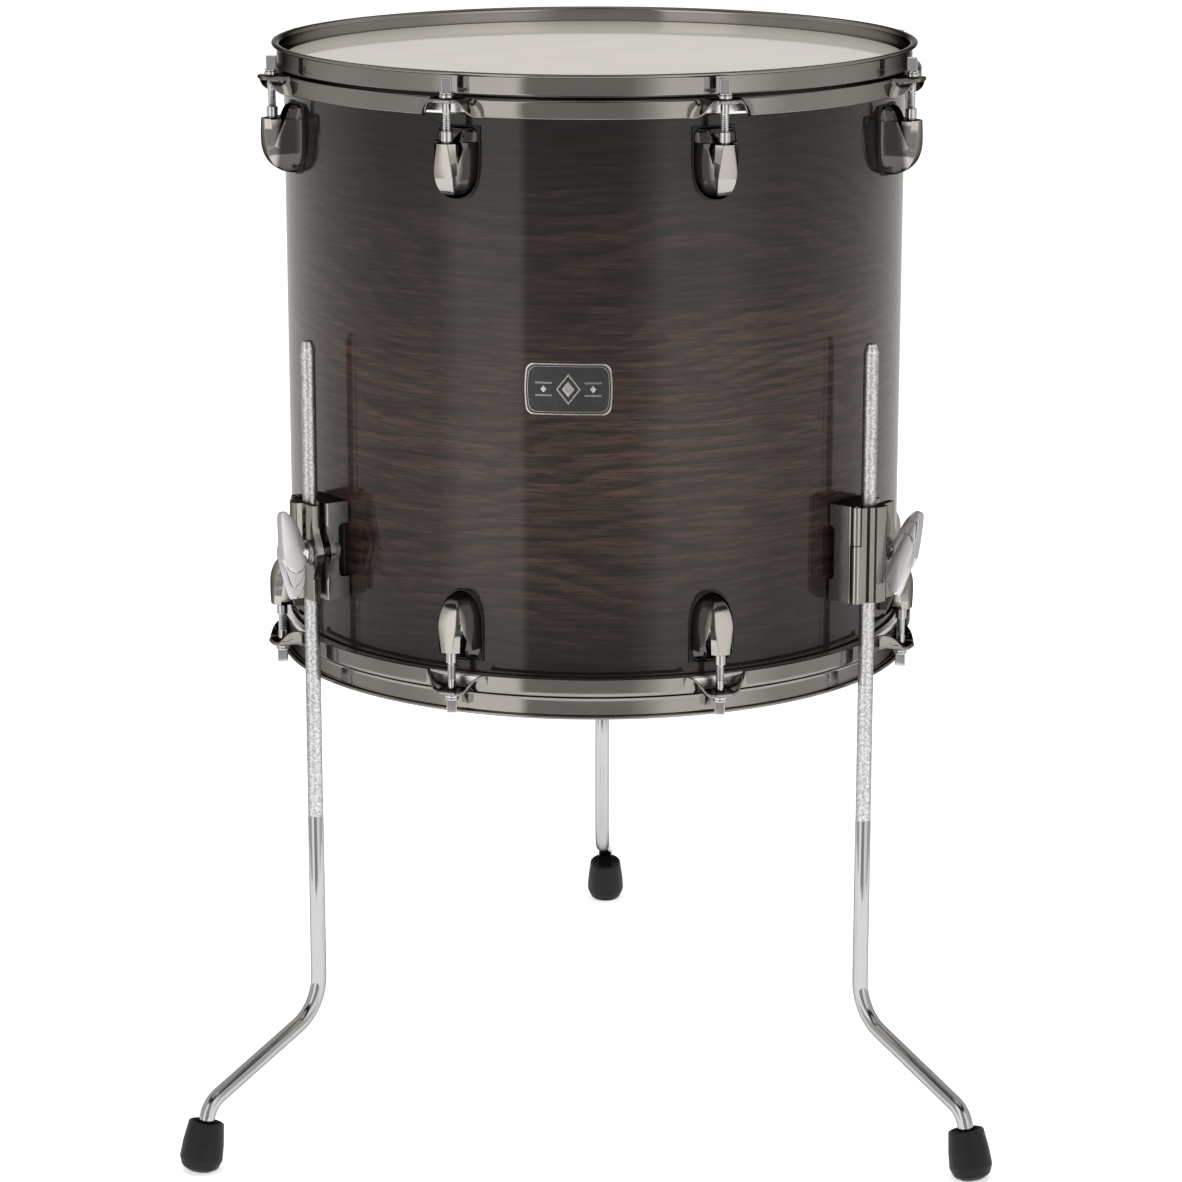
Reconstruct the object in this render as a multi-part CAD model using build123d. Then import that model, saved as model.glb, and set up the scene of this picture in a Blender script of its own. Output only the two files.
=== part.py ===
from build123d import *
import math
import os

# A three-legged floor tom: a 16 x 15 inch drum on three height-adjustable legs.
# Frame: +Z up, the floor at Z = 0, the front (badge side) towards -Y, and the origin on the floor
# under the middle of the whole object. An azimuth is measured about the drum's axis, from the front
# towards +X. A piece that repeats round the drum is modelled once, with +X radially outward,
# +Y tangential and Z at its real height, and then turned to its azimuth.

# ---------------------------------------------------------------- driving dimensions, mm
RIM_Z = 700.0             # playing rim above the floor
SHELL_RADIUS = 202.0      # outer radius of a nominal 16 inch shell
SHELL_WALL = 7.0
SHELL_LENGTH = 381.0      # 15 inch depth
RIM_ABOVE_EDGE = 10.0     # the hoop's rim above the shell's bearing edge
FILM = 0.5                # drum head film

LUG_COUNT = 8
ROD_CIRCLE = 218.5        # radius of the circle of tension rods
ROD_RADIUS = 2.7
LEG_RADIUS = 5.0
LEG_AXIS = 220.5          # leg centre line from the drum axis
BRACKETS = {"left": -53.6, "right": 53.6, "rear": 180.0}
LEG_SWIVEL = {"left": 15.6, "right": -15.6, "rear": 0.0}   # the foot's direction off the radius
SIDES = ("left", "right", "rear")

RUNNING = 0.05            # radial clearance of a running fit
GAP = 0.2                 # clearance of loose neighbours
SQUEEZE = 0.05            # a gasket is this much thinner than its seat

MID_Z = RIM_Z - RIM_ABOVE_EDGE - SHELL_LENGTH / 2     # middle plane of the shell
EDGE_Z = RIM_Z - RIM_ABOVE_EDGE                       # top bearing edge
SHELL_BORE = SHELL_RADIUS - SHELL_WALL
LUG_AZIMUTHS = [(k + 0.5) * 360 / LUG_COUNT for k in range(LUG_COUNT)]

# hoop (triple-flanged steel), heights measured down from its rim
HOOP_STEEL = 2.3
HOOP_HEIGHT = 26.2
HOOP_LIP = 209.8          # outer radius of the top lip
HOOP_WALL = 206.3         # outer radius of the upright wall
HOOP_SKIRT = 212.5        # outer radius of the lower skirt
WALL_FOOT = 12.6          # where the wall turns out
SKIRT_TOP = 16.4          # where the skirt turns down
EAR_TOP = 15.0
EAR_REACH = 226.5
EAR_WIDTH = 15.0
NOTCH_WIDTH = 33.0        # scallop at the skirt's free edge
ROD_HOLE = 3.4

# tension rod, heights down from the rim
HEAD_TOP, HEAD_FOOT, COLLAR_FOOT = 2.8, 11.0, 12.4
KEY_SQUARE = 6.35
COLLAR_RADIUS = 4.4
WASHER_TOP, WASHER_FOOT = 12.6, 14.9
ROD_END = 57.5

# lug, heights down from the rim
LUG_TOP, LUG_NOSE_TOP, LUG_NOSE_TIP, LUG_FOOT = 33.5, 42.0, 75.0, 77.5
LUG_WIDTH, NOSE_WIDTH = 27.0, 13.5
NOSE_FACE = 225.5
GASKET = 1.6
NUT_SLEEVE_TOP, NUT_END = 34.7, 58.0
NUT_SLEEVE, NUT_BARREL = 3.6, 4.5
LUG_SCREWS = (47.0, 68.0)
SCREW = 2.5

# leg bracket, in its own frame: the radial distance is from the drum axis
BRACKET_Z = RIM_Z - 310.4
BRACKET_HEIGHT = 63.0
BRACKET_WIDTH = 34.0
BRACKET_FACE = 219.0
SLOT_HEIGHT, SLOT_DEPTH = 35.0, 2.5      # recesses in the bracket's two side walls
SLOT_BOTTOMS = (206.5, 210.0)            # how far out each recess reaches, hinge side and bolt side
BRACKET_GASKET = 1.2
BOLT_SIDE = 10.6          # wing bolt axis beside the leg
BOLT_RADIUS = 4.0
PLATE_BACK, PLATE_FACE = 224.3, 229.1
BULGE = 13.0              # outer radius of the plate's rib over the leg
RIB_CREST, RIB_FOOT = 2.6, 4.6   # where the rib's flank starts and ends, beside the leg's axis
FLUTES, FLUTE_RADIUS = (-55.0, -36.0), 0.8   # grooves down the rib, by angle about the leg's axis
PAD = 12.2                # pad round the bolt
BOSS = 8.3
PIN_SIDE, PIN_AXIS, PIN_RADIUS = -14.8, 221.6, 1.5
KNUCKLE = 3.5
KNUCKLE_SPLIT = 7.0       # the plate's knuckle is below this height, the bracket's above it

# leg, in its own plane: distance out from its axis, height above the floor
LEG_TOP = 523.5
LEG_KNEE = (0.0, 79.0)
LEG_ANKLE = (103.2, 42.1)
LEG_SOLE = (113.5, 0.0)
KNEE_RADIUS, ANKLE_RADIUS = 31.0, 18.0
FOOT_HEIGHT = 34.0
FOOT_WIDE, FOOT_NARROW = 13.8, 11.0


# ---------------------------------------------------------------- helpers
def spin(section):
    """Turn a section drawn in the XZ plane into a ring about the Z axis."""
    return revolve(section, Axis.Z, 360)


def section(points):
    """A closed outline in the XZ plane."""
    return Plane.XZ * Face(Wire.make_polygon([Vector(x, z) for x, z in points], close=True))


def radial_rod(radius, start, end, side=0.0, z=0.0):
    """A cylinder along +X, from one distance off the axis to another."""
    return Pos(start, side, z) * Rot(0, 90, 0) * Cylinder(
        radius, end - start, align=(Align.CENTER, Align.CENTER, Align.MIN))


def upright(radius, low, high, x=0.0, y=0.0):
    """A vertical cylinder between two heights."""
    return Pos(x, y, low) * Cylinder(
        radius, high - low, align=(Align.CENTER, Align.CENTER, Align.MIN))


def block(x0, x1, y0, y1, z0, z1):
    """A box between two corners."""
    return Pos((x0 + x1) / 2, (y0 + y1) / 2, (z0 + z1) / 2) * Box(x1 - x0, y1 - y0, z1 - z0)


def turned(piece, azimuth):
    """Turn a piece to its azimuth; the drum's axis is still the Z axis."""
    return Rot(0, 0, azimuth - 90) * piece


def upside_down(piece):
    """The same piece on the bottom of the drum: mirrored in the shell's middle plane."""
    return mirror(piece, Plane.XY.offset(MID_Z))


def round_the_drum(piece, azimuths):
    """Copies of a piece at several azimuths."""
    return [turned(piece, a) for a in azimuths]


# ---------------------------------------------------------------- drum shell and heads
def make_shell():
    """A plain wooden cylinder with a 45 degree bearing edge cut inside each end."""
    peak = SHELL_RADIUS - 1.5
    half = SHELL_LENGTH / 2
    cut = peak - SHELL_BORE
    ring = spin(section([
        (SHELL_BORE, MID_Z - half + cut), (peak, MID_Z - half), (SHELL_RADIUS, MID_Z - half + 1.5),
        (SHELL_RADIUS, MID_Z + half - 1.5), (peak, MID_Z + half), (SHELL_BORE, MID_Z + half - cut)]))
    inner, outer = SHELL_BORE - 5, SHELL_RADIUS + 5
    holes = []
    for depth in LUG_SCREWS:
        hole = radial_rod(SCREW + 0.4, inner, outer, 0, RIM_Z - depth)
        holes += round_the_drum(hole, LUG_AZIMUTHS)
        holes += round_the_drum(upside_down(hole), LUG_AZIMUTHS)
    for drop in BRACKET_SCREWS:
        hole = radial_rod(3.4, inner, outer, 0, BRACKET_Z + drop)
        holes += round_the_drum(hole, BRACKETS.values())
    holes.append(turned(radial_rod(VENT_TUBE + 0.1, inner, outer, 0, MID_Z), VENT_AZIMUTH))
    return ring - holes


def make_head():
    """Film stretched over the bearing edge, with a short collar turned down outside the shell."""
    top = EDGE_Z + FILM
    collar = SHELL_RADIUS + 0.7
    return spin(section([
        (0, EDGE_Z), (SHELL_RADIUS - 1.2, EDGE_Z), (collar, EDGE_Z - 2.0), (collar, EDGE_Z - 10.0),
        (collar + FILM, EDGE_Z - 10.0), (collar + FILM, EDGE_Z - 1.8),
        (SHELL_RADIUS - 1.0, top), (0, top)]))


def make_flesh_hoop():
    """The aluminium ring that carries the head's film, under the hoop's ledge."""
    inner, outer = SHELL_RADIUS + 1.5, HOOP_SKIRT - HOOP_STEEL - 0.6
    high, low = RIM_Z - 18.0, RIM_Z - 25.6
    ring = spin(section([(inner, low), (outer, low), (outer, high), (inner, high)]))
    return fillet(ring.edges(), 0.8)


def make_hoop():
    """Pressed hoop: top lip, wall, ledge and skirt, with eight ears for the rods."""
    s = HOOP_STEEL
    ledge = s * 0.6
    ring = spin(section([
        (HOOP_WALL - s, RIM_Z), (HOOP_LIP, RIM_Z), (HOOP_LIP, RIM_Z - s), (HOOP_WALL, RIM_Z - s),
        (HOOP_WALL, RIM_Z - WALL_FOOT), (HOOP_SKIRT, RIM_Z - SKIRT_TOP),
        (HOOP_SKIRT, RIM_Z - HOOP_HEIGHT), (HOOP_SKIRT - s, RIM_Z - HOOP_HEIGHT),
        (HOOP_SKIRT - s, RIM_Z - SKIRT_TOP - ledge), (HOOP_WALL - s, RIM_Z - WALL_FOOT - ledge)]))
    ring = fillet(ring.edges().filter_by(lambda e: e.center().Z > RIM_Z - 1), 0.9)
    floor = RIM_Z - EAR_TOP - s
    arch = Plane.YZ * Face(Wire.make_polygon([
        Vector(-NOTCH_WIDTH / 2, RIM_Z - HOOP_HEIGHT - 1), Vector(NOTCH_WIDTH / 2, RIM_Z - HOOP_HEIGHT - 1),
        Vector(NOTCH_WIDTH / 2 - 3, RIM_Z - HOOP_HEIGHT + 3), Vector(EAR_WIDTH / 2, floor),
        Vector(-EAR_WIDTH / 2, floor), Vector(-NOTCH_WIDTH / 2 + 3, RIM_Z - HOOP_HEIGHT + 3)], close=True))
    notch = Pos(HOOP_SKIRT - s - 1.5, 0, 0) * extrude(arch, 8, dir=(1, 0, 0))
    tab = block(HOOP_WALL + 2.0, EAR_REACH, -EAR_WIDTH / 2, EAR_WIDTH / 2, floor, RIM_Z - EAR_TOP)
    corners = tab.edges().filter_by(Axis.Z).sort_by(Axis.X)[-2:]
    tab = fillet(corners, 5.0)
    hole = upright(ROD_HOLE, floor - 5, RIM_Z - EAR_TOP + 5, ROD_CIRCLE)
    ring = ring - round_the_drum(notch, LUG_AZIMUTHS)
    ring = ring + round_the_drum(tab, LUG_AZIMUTHS)
    return ring - round_the_drum(hole, LUG_AZIMUTHS)


# ---------------------------------------------------------------- rods, nuts and lugs
def make_rod():
    """Key rod: a square head on a round collar, and a threaded shank down into the lug's nut."""
    head = block(-KEY_SQUARE / 2, KEY_SQUARE / 2, -KEY_SQUARE / 2, KEY_SQUARE / 2,
                 RIM_Z - HEAD_FOOT, RIM_Z - HEAD_TOP)
    head = chamfer(head.faces().sort_by(Axis.Z)[-1].edges(), 0.7)
    collar = upright(COLLAR_RADIUS, RIM_Z - COLLAR_FOOT, RIM_Z - HEAD_FOOT)
    shank = upright(ROD_RADIUS, RIM_Z - ROD_END, RIM_Z - COLLAR_FOOT)
    shank = chamfer(shank.edges().sort_by(Axis.Z)[0], 0.8)
    return Pos(ROD_CIRCLE, 0, 0) * (head + collar + shank)


def make_rod_washer():
    """The washer between a rod's collar and the hoop's ear."""
    disc = upright(COLLAR_RADIUS + 0.2, RIM_Z - WASHER_FOOT, RIM_Z - WASHER_TOP)
    bore = upright(ROD_RADIUS + GAP, RIM_Z - WASHER_FOOT, RIM_Z - WASHER_TOP)
    return Pos(ROD_CIRCLE, 0, 0) * (disc - bore)


def make_swivel_nut():
    """Threaded insert: a wide barrel in the lug's pocket and a sleeve standing out of the top."""
    barrel = upright(NUT_BARREL, RIM_Z - NUT_END, RIM_Z - LUG_NOSE_TOP - 1.0)
    sleeve = upright(NUT_SLEEVE, RIM_Z - LUG_NOSE_TOP - 1.0, RIM_Z - NUT_SLEEVE_TOP)
    bore = upright(ROD_RADIUS + RUNNING, RIM_Z - NUT_END, RIM_Z - NUT_SLEEVE_TOP)
    return Pos(ROD_CIRCLE, 0, 0) * (barrel + sleeve - bore)


def shield(width, top, tip, at):
    """A flat-topped outline that narrows to a round tip, in the plane at one distance off the axis."""
    half = width / 2
    shoulder = top - 0.42 * (top - tip)
    outline = Wire([
        Line((-half, top), (half, top)),
        Line((half, top), (half, shoulder)),
        Bezier((half, shoulder), (half, tip + 0.12 * (top - tip)), (half * 0.6, tip), (0, tip)),
        Bezier((0, tip), (-half * 0.6, tip), (-half, tip + 0.12 * (top - tip)), (-half, shoulder)),
        Line((-half, shoulder), (-half, top))])
    return Plane((at, 0, 0), x_dir=(0, 1, 0), z_dir=(1, 0, 0)) * Face(outline)


def make_lug():
    """Cast lug: a wide foot on the shell and a narrow nose with the nut's pocket in its top."""
    foot_face = SHELL_RADIUS + 6.5
    top, tip = RIM_Z - LUG_TOP, RIM_Z - LUG_FOOT
    foot = extrude(shield(LUG_WIDTH, top, tip, SHELL_RADIUS - 2), foot_face - SHELL_RADIUS + 2,
                   dir=(1, 0, 0))
    nose_top, nose_tip = RIM_Z - LUG_NOSE_TOP, RIM_Z - LUG_NOSE_TIP
    nose = loft([shield(LUG_WIDTH - 3, top - 1.5, tip + 1, foot_face - 0.5),
                 shield(NOSE_WIDTH, nose_top, nose_tip, NOSE_FACE + 1)])
    lean = NOSE_FACE - 8.5
    side = Plane.XZ * Face(Wire([
        Line((190, tip - 5), (lean, tip - 5)),
        Line((lean, tip - 5), (lean, nose_tip)),
        Spline((lean, nose_tip), (NOSE_FACE - 4, nose_tip + 10), (NOSE_FACE - 0.6, nose_tip + 22),
               (NOSE_FACE, nose_top)),
        Line((NOSE_FACE, nose_top), (ROD_CIRCLE - 5.5, nose_top)),
        Line((ROD_CIRCLE - 5.5, nose_top), (foot_face, top)),
        Line((foot_face, top), (190, top)),
        Line((190, top), (190, tip - 5))]))
    keep = extrude(side, 20, both=True)
    bore = upright(NUT_BARREL + GAP, RIM_Z - NUT_END - 1.5, top + 5, ROD_CIRCLE)
    back = upright(SHELL_RADIUS + GASKET, tip - 5, top + 5)
    screws = [radial_rod(SCREW + 0.05, SHELL_BORE, 212.5, 0, RIM_Z - d) for d in LUG_SCREWS]
    return (foot + nose) & keep - bore - back - screws


def make_lug_gasket():
    """The thin gasket between a lug and the shell."""
    plate = extrude(shield(LUG_WIDTH + 1.5, RIM_Z - LUG_TOP + 0.7, RIM_Z - LUG_FOOT - 0.8, 190), 30,
                    dir=(1, 0, 0))
    ring = upright(SHELL_RADIUS + GASKET - SQUEEZE, 0, RIM_Z) - upright(SHELL_RADIUS, 0, RIM_Z)
    screws = [radial_rod(SCREW + 0.4, SHELL_BORE, 212.5, 0, RIM_Z - d) for d in LUG_SCREWS]
    return plate & ring - screws


def make_inner_screw(radius, z, end):
    """A pan-head screw put in from inside the shell."""
    head_foot = SHELL_BORE - 1.3
    head = radial_rod(radius * 1.9, head_foot - radius * 1.2, head_foot, 0, z)
    return head + radial_rod(radius, head_foot, end, 0, z)


def make_inner_washer(radius, z):
    """The washer under an inner screw's head."""
    return (radial_rod(radius * 2.3, SHELL_BORE - 1.25, SHELL_BORE - 0.15, 0, z)
            - radial_rod(radius + GAP, SHELL_BORE - 2, SHELL_BORE, 0, z))


# ---------------------------------------------------------------- badge and vent
BADGE_AZIMUTH, BADGE_Z = -3.0, RIM_Z - 192.6
BADGE_WIDTH, BADGE_HEIGHT, BADGE_THICK = 54.0, 32.0, 1.0
VENT_AZIMUTH, VENT_TUBE, VENT_BORE, VENT_FLANGE = 135.0, 5.2, 4.0, 8.0


def make_badge():
    """A plain curved plaque glued to the front of the shell."""
    plate = Plane((190, 0, BADGE_Z), x_dir=(0, 1, 0), z_dir=(1, 0, 0)) * RectangleRounded(
        BADGE_WIDTH, BADGE_HEIGHT, 5)
    low, high = BADGE_Z - BADGE_HEIGHT, BADGE_Z + BADGE_HEIGHT
    ring = upright(SHELL_RADIUS + BADGE_THICK, low, high) - upright(SHELL_RADIUS, low, high)
    return turned(extrude(plate, 30, dir=(1, 0, 0)) & ring, BADGE_AZIMUTH)


def make_vent():
    """The grommet that lines the air vent through the shell."""
    tube = radial_rod(VENT_TUBE, SHELL_BORE - 1.5, SHELL_RADIUS + 1.5, 0, MID_Z)
    outside = radial_rod(VENT_FLANGE, SHELL_RADIUS + 0.05, SHELL_RADIUS + 1.5, 0, MID_Z)
    inside = radial_rod(VENT_FLANGE, SHELL_BORE - 1.5, SHELL_BORE - 0.2, 0, MID_Z)
    bore = radial_rod(VENT_BORE, SHELL_BORE - 5, SHELL_RADIUS + 5, 0, MID_Z)
    return turned(tube + outside + inside - bore, VENT_AZIMUTH)


# ---------------------------------------------------------------- leg brackets
BRACKET_SCREWS = (-21.0, 21.0)
BRACKET_SCREW = 3.0
NUT_ACROSS, NUT_START, NUT_THICK = 13.0, 210.0, 5.8
BRACKET_LOW, BRACKET_HIGH = BRACKET_Z - BRACKET_HEIGHT / 2, BRACKET_Z + BRACKET_HEIGHT / 2


def nut_prism(across, start, end):
    """A hexagonal prism along +X on the wing bolt's axis."""
    hexagon = RegularPolygon(across / 2, 6, major_radius=False)
    plane = Plane((start, BOLT_SIDE, BRACKET_Z), x_dir=(0, 1, 0), z_dir=(1, 0, 0))
    return extrude(plane * hexagon, end - start, dir=(1, 0, 0))


def make_bracket():
    """Cast bracket screwed to the shell: leg channel, bolt boss, hinge knuckle and side slots."""
    half = BRACKET_WIDTH / 2
    body = block(SHELL_RADIUS - 2, BRACKET_FACE, -half, half, BRACKET_LOW, BRACKET_HIGH)
    body = fillet(body.edges().filter_by(Axis.Z).sort_by(Axis.X)[-2:], 1.5)
    body += radial_rod(BOSS, SHELL_RADIUS - 2, BRACKET_FACE, BOLT_SIDE, BRACKET_Z)
    body += radial_rod(PAD, BRACKET_FACE - 3.5, BRACKET_FACE, BOLT_SIDE, BRACKET_Z)
    split = BRACKET_Z + KNUCKLE_SPLIT
    body += upright(KNUCKLE, split, BRACKET_HIGH, PIN_AXIS, PIN_SIDE)
    body -= upright(KNUCKLE + 0.6, BRACKET_LOW - 1, split - 0.3, PIN_AXIS, PIN_SIDE)
    body -= upright(PIN_RADIUS + RUNNING, BRACKET_LOW - 1, BRACKET_HIGH + 1, PIN_AXIS, PIN_SIDE)
    body -= upright(LEG_RADIUS + GAP, BRACKET_LOW - 1, BRACKET_HIGH + 1, LEG_AXIS)
    for face, bottom in zip((-half, half), SLOT_BOTTOMS):
        slot = RectangleRounded(2 * (bottom - SHELL_RADIUS), SLOT_HEIGHT, 3.5)
        slot = extrude(Plane.XZ * Pos(SHELL_RADIUS, BRACKET_Z) * slot, 2 * SLOT_DEPTH, dir=(0, 1, 0))
        body -= Pos(0, face - SLOT_DEPTH, 0) * slot
    body -= radial_rod(BOLT_RADIUS + 0.5, SHELL_RADIUS - 5, BRACKET_FACE + 5, BOLT_SIDE, BRACKET_Z)
    body -= nut_prism(NUT_ACROSS + 0.1, SHELL_RADIUS - 5, NUT_START + NUT_THICK + 0.05)
    for drop in BRACKET_SCREWS:
        body -= radial_rod(BRACKET_SCREW + 0.05, SHELL_BORE, 212.3, 0, BRACKET_Z + drop)
    return body - upright(SHELL_RADIUS + BRACKET_GASKET, BRACKET_LOW - 5, BRACKET_HIGH + 5)


def make_bracket_gasket():
    """The gasket between a bracket and the shell."""
    half = BRACKET_WIDTH / 2 - 1
    pad = block(SHELL_RADIUS - 5, SHELL_RADIUS + 10, -half + 5, half - 5, BRACKET_LOW + 1, BRACKET_HIGH - 1)
    ring = (upright(SHELL_RADIUS + BRACKET_GASKET - SQUEEZE, BRACKET_LOW, BRACKET_HIGH)
            - upright(SHELL_RADIUS, BRACKET_LOW, BRACKET_HIGH))
    holes = [radial_rod(BRACKET_SCREW + 0.4, SHELL_BORE, 215, 0, BRACKET_Z + d) for d in BRACKET_SCREWS]
    return pad & ring - holes


def make_clamp_nut():
    """The captive nut that takes the wing bolt."""
    bore = radial_rod(BOLT_RADIUS + RUNNING, NUT_START - 1, NUT_START + NUT_THICK + 1, BOLT_SIDE, BRACKET_Z)
    return nut_prism(NUT_ACROSS, NUT_START, NUT_START + NUT_THICK) - bore


def make_hinge_pin():
    """The pin that the clamp plate swings on."""
    return upright(PIN_RADIUS, BRACKET_LOW + 0.5, BRACKET_HIGH - 0.5, PIN_AXIS, PIN_SIDE)


def make_clamp_plate():
    """Cast plate: a rib over the leg, a flange with the bolt's hole, and the hinge knuckle."""
    half = BRACKET_WIDTH / 2
    low, high = BRACKET_LOW + 0.5, BRACKET_HIGH - 0.5
    step = math.sqrt(BULGE ** 2 - (PLATE_FACE - LEG_AXIS) ** 2)
    crest = (LEG_AXIS + math.sqrt(BULGE ** 2 - RIB_CREST ** 2), RIB_CREST)
    middle = (LEG_AXIS + BULGE * math.cos(math.radians(20)), -BULGE * math.sin(math.radians(20)))
    plan = Wire([
        Line((PLATE_BACK, half), (PLATE_FACE, half)),
        Line((PLATE_FACE, half), (PLATE_FACE, RIB_FOOT)),
        Line((PLATE_FACE, RIB_FOOT), crest),
        ThreePointArc(crest, middle, (PLATE_FACE, -step)),
        Line((PLATE_FACE, -step), (PIN_AXIS + 2.2, PIN_SIDE - 3.0)),
        Line((PIN_AXIS + 2.2, PIN_SIDE - 3.0), (PIN_AXIS, PIN_SIDE)),
        Line((PIN_AXIS, PIN_SIDE), (PLATE_BACK, PIN_SIDE + 4.5)),
        Line((PLATE_BACK, PIN_SIDE + 4.5), (PLATE_BACK, half))])
    plate = Pos(0, 0, low) * extrude(Face(plan), high - low, dir=(0, 0, 1))
    plate += radial_rod(PAD, PLATE_BACK, PLATE_FACE, BOLT_SIDE, BRACKET_Z)
    plate -= radial_rod(BOSS + 0.8, PLATE_FACE, PLATE_FACE + 10, BOLT_SIDE, BRACKET_Z)
    plate -= radial_rod(BOLT_RADIUS + 1.0, PLATE_BACK - 5, PLATE_FACE + 5, BOLT_SIDE, BRACKET_Z)
    plate -= upright(LEG_RADIUS + GAP, low - 1, high + 1, LEG_AXIS)
    for angle in FLUTES:
        across, out = BULGE * math.sin(math.radians(angle)), BULGE * math.cos(math.radians(angle))
        plate -= upright(FLUTE_RADIUS, low - 1, high + 1, LEG_AXIS + out, across)
    split = BRACKET_Z + KNUCKLE_SPLIT
    plate -= upright(KNUCKLE + 0.6, split - 0.6, high + 1, PIN_AXIS, PIN_SIDE)
    plate += upright(KNUCKLE, low, split - 0.6, PIN_AXIS, PIN_SIDE)
    return plate - upright(PIN_RADIUS + RUNNING, low - 1, high + 1, PIN_AXIS, PIN_SIDE)


WASHER_START, WASHER_THICK = PLATE_FACE + 0.1, 1.8
HUB_START = WASHER_START + WASHER_THICK + 0.1
WING_TURN = {"left": 18.0, "right": -24.0, "rear": 12.0}   # how each wing bolt stands, about its own axis
BLADE_AXIS, BLADE_HALF = 10.3, 8.8      # the blades' centre line beyond the hub's foot, and half width
BLADE_TIP, BLADE_HEEL, BLADE_LEAN = 28.0, 12.0, 3.4
BLADE_THICK, STEP_THICK, STEP_HEEL = 5.0, 2.5, 20.5


def make_wing_washer():
    """The thick washer between the wing bolt and the clamp plate."""
    return (radial_rod(BOSS, WASHER_START, WASHER_START + WASHER_THICK, BOLT_SIDE, BRACKET_Z)
            - radial_rod(BOLT_RADIUS + 0.3, WASHER_START - 1, HUB_START + 1, BOLT_SIDE, BRACKET_Z))


def blade_outline():
    """One blade of the wing bolt, seen along the tangent: a round heel that narrows to a high tip."""
    at = HUB_START + BLADE_AXIS
    near, far, tip = at - BLADE_HALF, at + BLADE_HALF, at + BLADE_LEAN
    return Plane.XZ * Face(Wire([
        ThreePointArc((near, 0), (at, -BLADE_HEEL), (far, 0)),
        Bezier((far, 0), (far, 0.45 * BLADE_TIP), (tip + 4, 0.85 * BLADE_TIP), (tip + 1.2, BLADE_TIP)),
        Line((tip + 1.2, BLADE_TIP), (tip - 1.2, BLADE_TIP)),
        Bezier((tip - 1.2, BLADE_TIP), (tip - 5, 0.9 * BLADE_TIP), (near, 0.5 * BLADE_TIP), (near, 0))]))


def make_wing_bolt(side):
    """A bolt with a cast S-shaped head: a hub, and two blades back to back that step into each other."""
    shank = radial_rod(BOLT_RADIUS, NUT_START + 1.5, HUB_START + 2)
    hub = Pos(HUB_START, 0, 0) * Rot(0, 90, 0) * Cone(
        7.8, 5.6, 13.0, align=(Align.CENTER, Align.CENTER, Align.MIN))
    blade = extrude(blade_outline(), BLADE_THICK, dir=(0, 1, 0))
    step = Rot(180, 0, 0) * extrude(blade_outline(), STEP_THICK, dir=(0, -1, 0))
    step &= Pos(HUB_START + BLADE_AXIS + 1, 0, 9.5 - STEP_HEEL) * Rot(90, 0, 0) * Cylinder(9.5, 20)
    bolt = shank + hub
    for turn in (0, 180):
        bolt += Rot(turn, 0, 0) * (blade + step)
    return Pos(0, BOLT_SIDE, BRACKET_Z) * Rot(WING_TURN[side], 0, 0) * bolt


# ---------------------------------------------------------------- legs and feet
def make_leg():
    """Round steel leg: straight through the bracket, then bent out and down into its foot."""
    lean = math.atan2(LEG_SOLE[0] - LEG_ANKLE[0], LEG_ANKLE[1] - LEG_SOLE[1])
    end = (LEG_SOLE[0] - 7 * math.sin(lean), LEG_SOLE[1] + 7 * math.cos(lean))
    corners = [(0, LEG_TOP), LEG_KNEE, LEG_ANKLE, end]
    path = Plane.XZ * FilletPolyline(*corners, radius=[KNEE_RADIUS, ANKLE_RADIUS])
    profile = Pos(0, 0, LEG_TOP) * Circle(LEG_RADIUS)
    leg = sweep(profile, path=path)
    return chamfer(leg.edges().sort_by(Axis.Z)[-1], 5.0, 1.8)


def make_foot(leg):
    """Rubber foot pushed on the leg's end, leaning with it, with a small flat where it stands."""
    outline = Wire([
        Line((0, 0), (8.0, 0)),
        ThreePointArc((8.0, 0), (12.2, 2.4), (FOOT_WIDE, 8.0)),
        Line((FOOT_WIDE, 8.0), (FOOT_NARROW, FOOT_HEIGHT - 2.5)),
        Line((FOOT_NARROW, FOOT_HEIGHT - 2.5), (FOOT_NARROW - 2.5, FOOT_HEIGHT)),
        Line((FOOT_NARROW - 2.5, FOOT_HEIGHT), (0, FOOT_HEIGHT)),
        Line((0, FOOT_HEIGHT), (0, 0))])
    foot = spin(Plane.XZ * Face(outline))
    lean = math.degrees(math.atan2(LEG_SOLE[0] - LEG_ANKLE[0], LEG_ANKLE[1] - LEG_SOLE[1]))
    foot = Pos(LEG_SOLE[0], 0, LEG_SOLE[1]) * Rot(0, -lean, 0) * foot
    below = block(0, 300, -50, 50, -50, 0)
    return foot - below - leg


def at_bracket(piece, side):
    """Turn a leg piece about its own axis, and carry it to its bracket."""
    return turned(Pos(LEG_AXIS, 0, 0) * Rot(0, 0, LEG_SWIVEL[side]) * piece, BRACKETS[side])


# ---------------------------------------------------------------- assembly
nodes = {
    "shell": [make_shell()],
    "badge": [make_badge()],
    "vent_grommet": [make_vent()],
}

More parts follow.
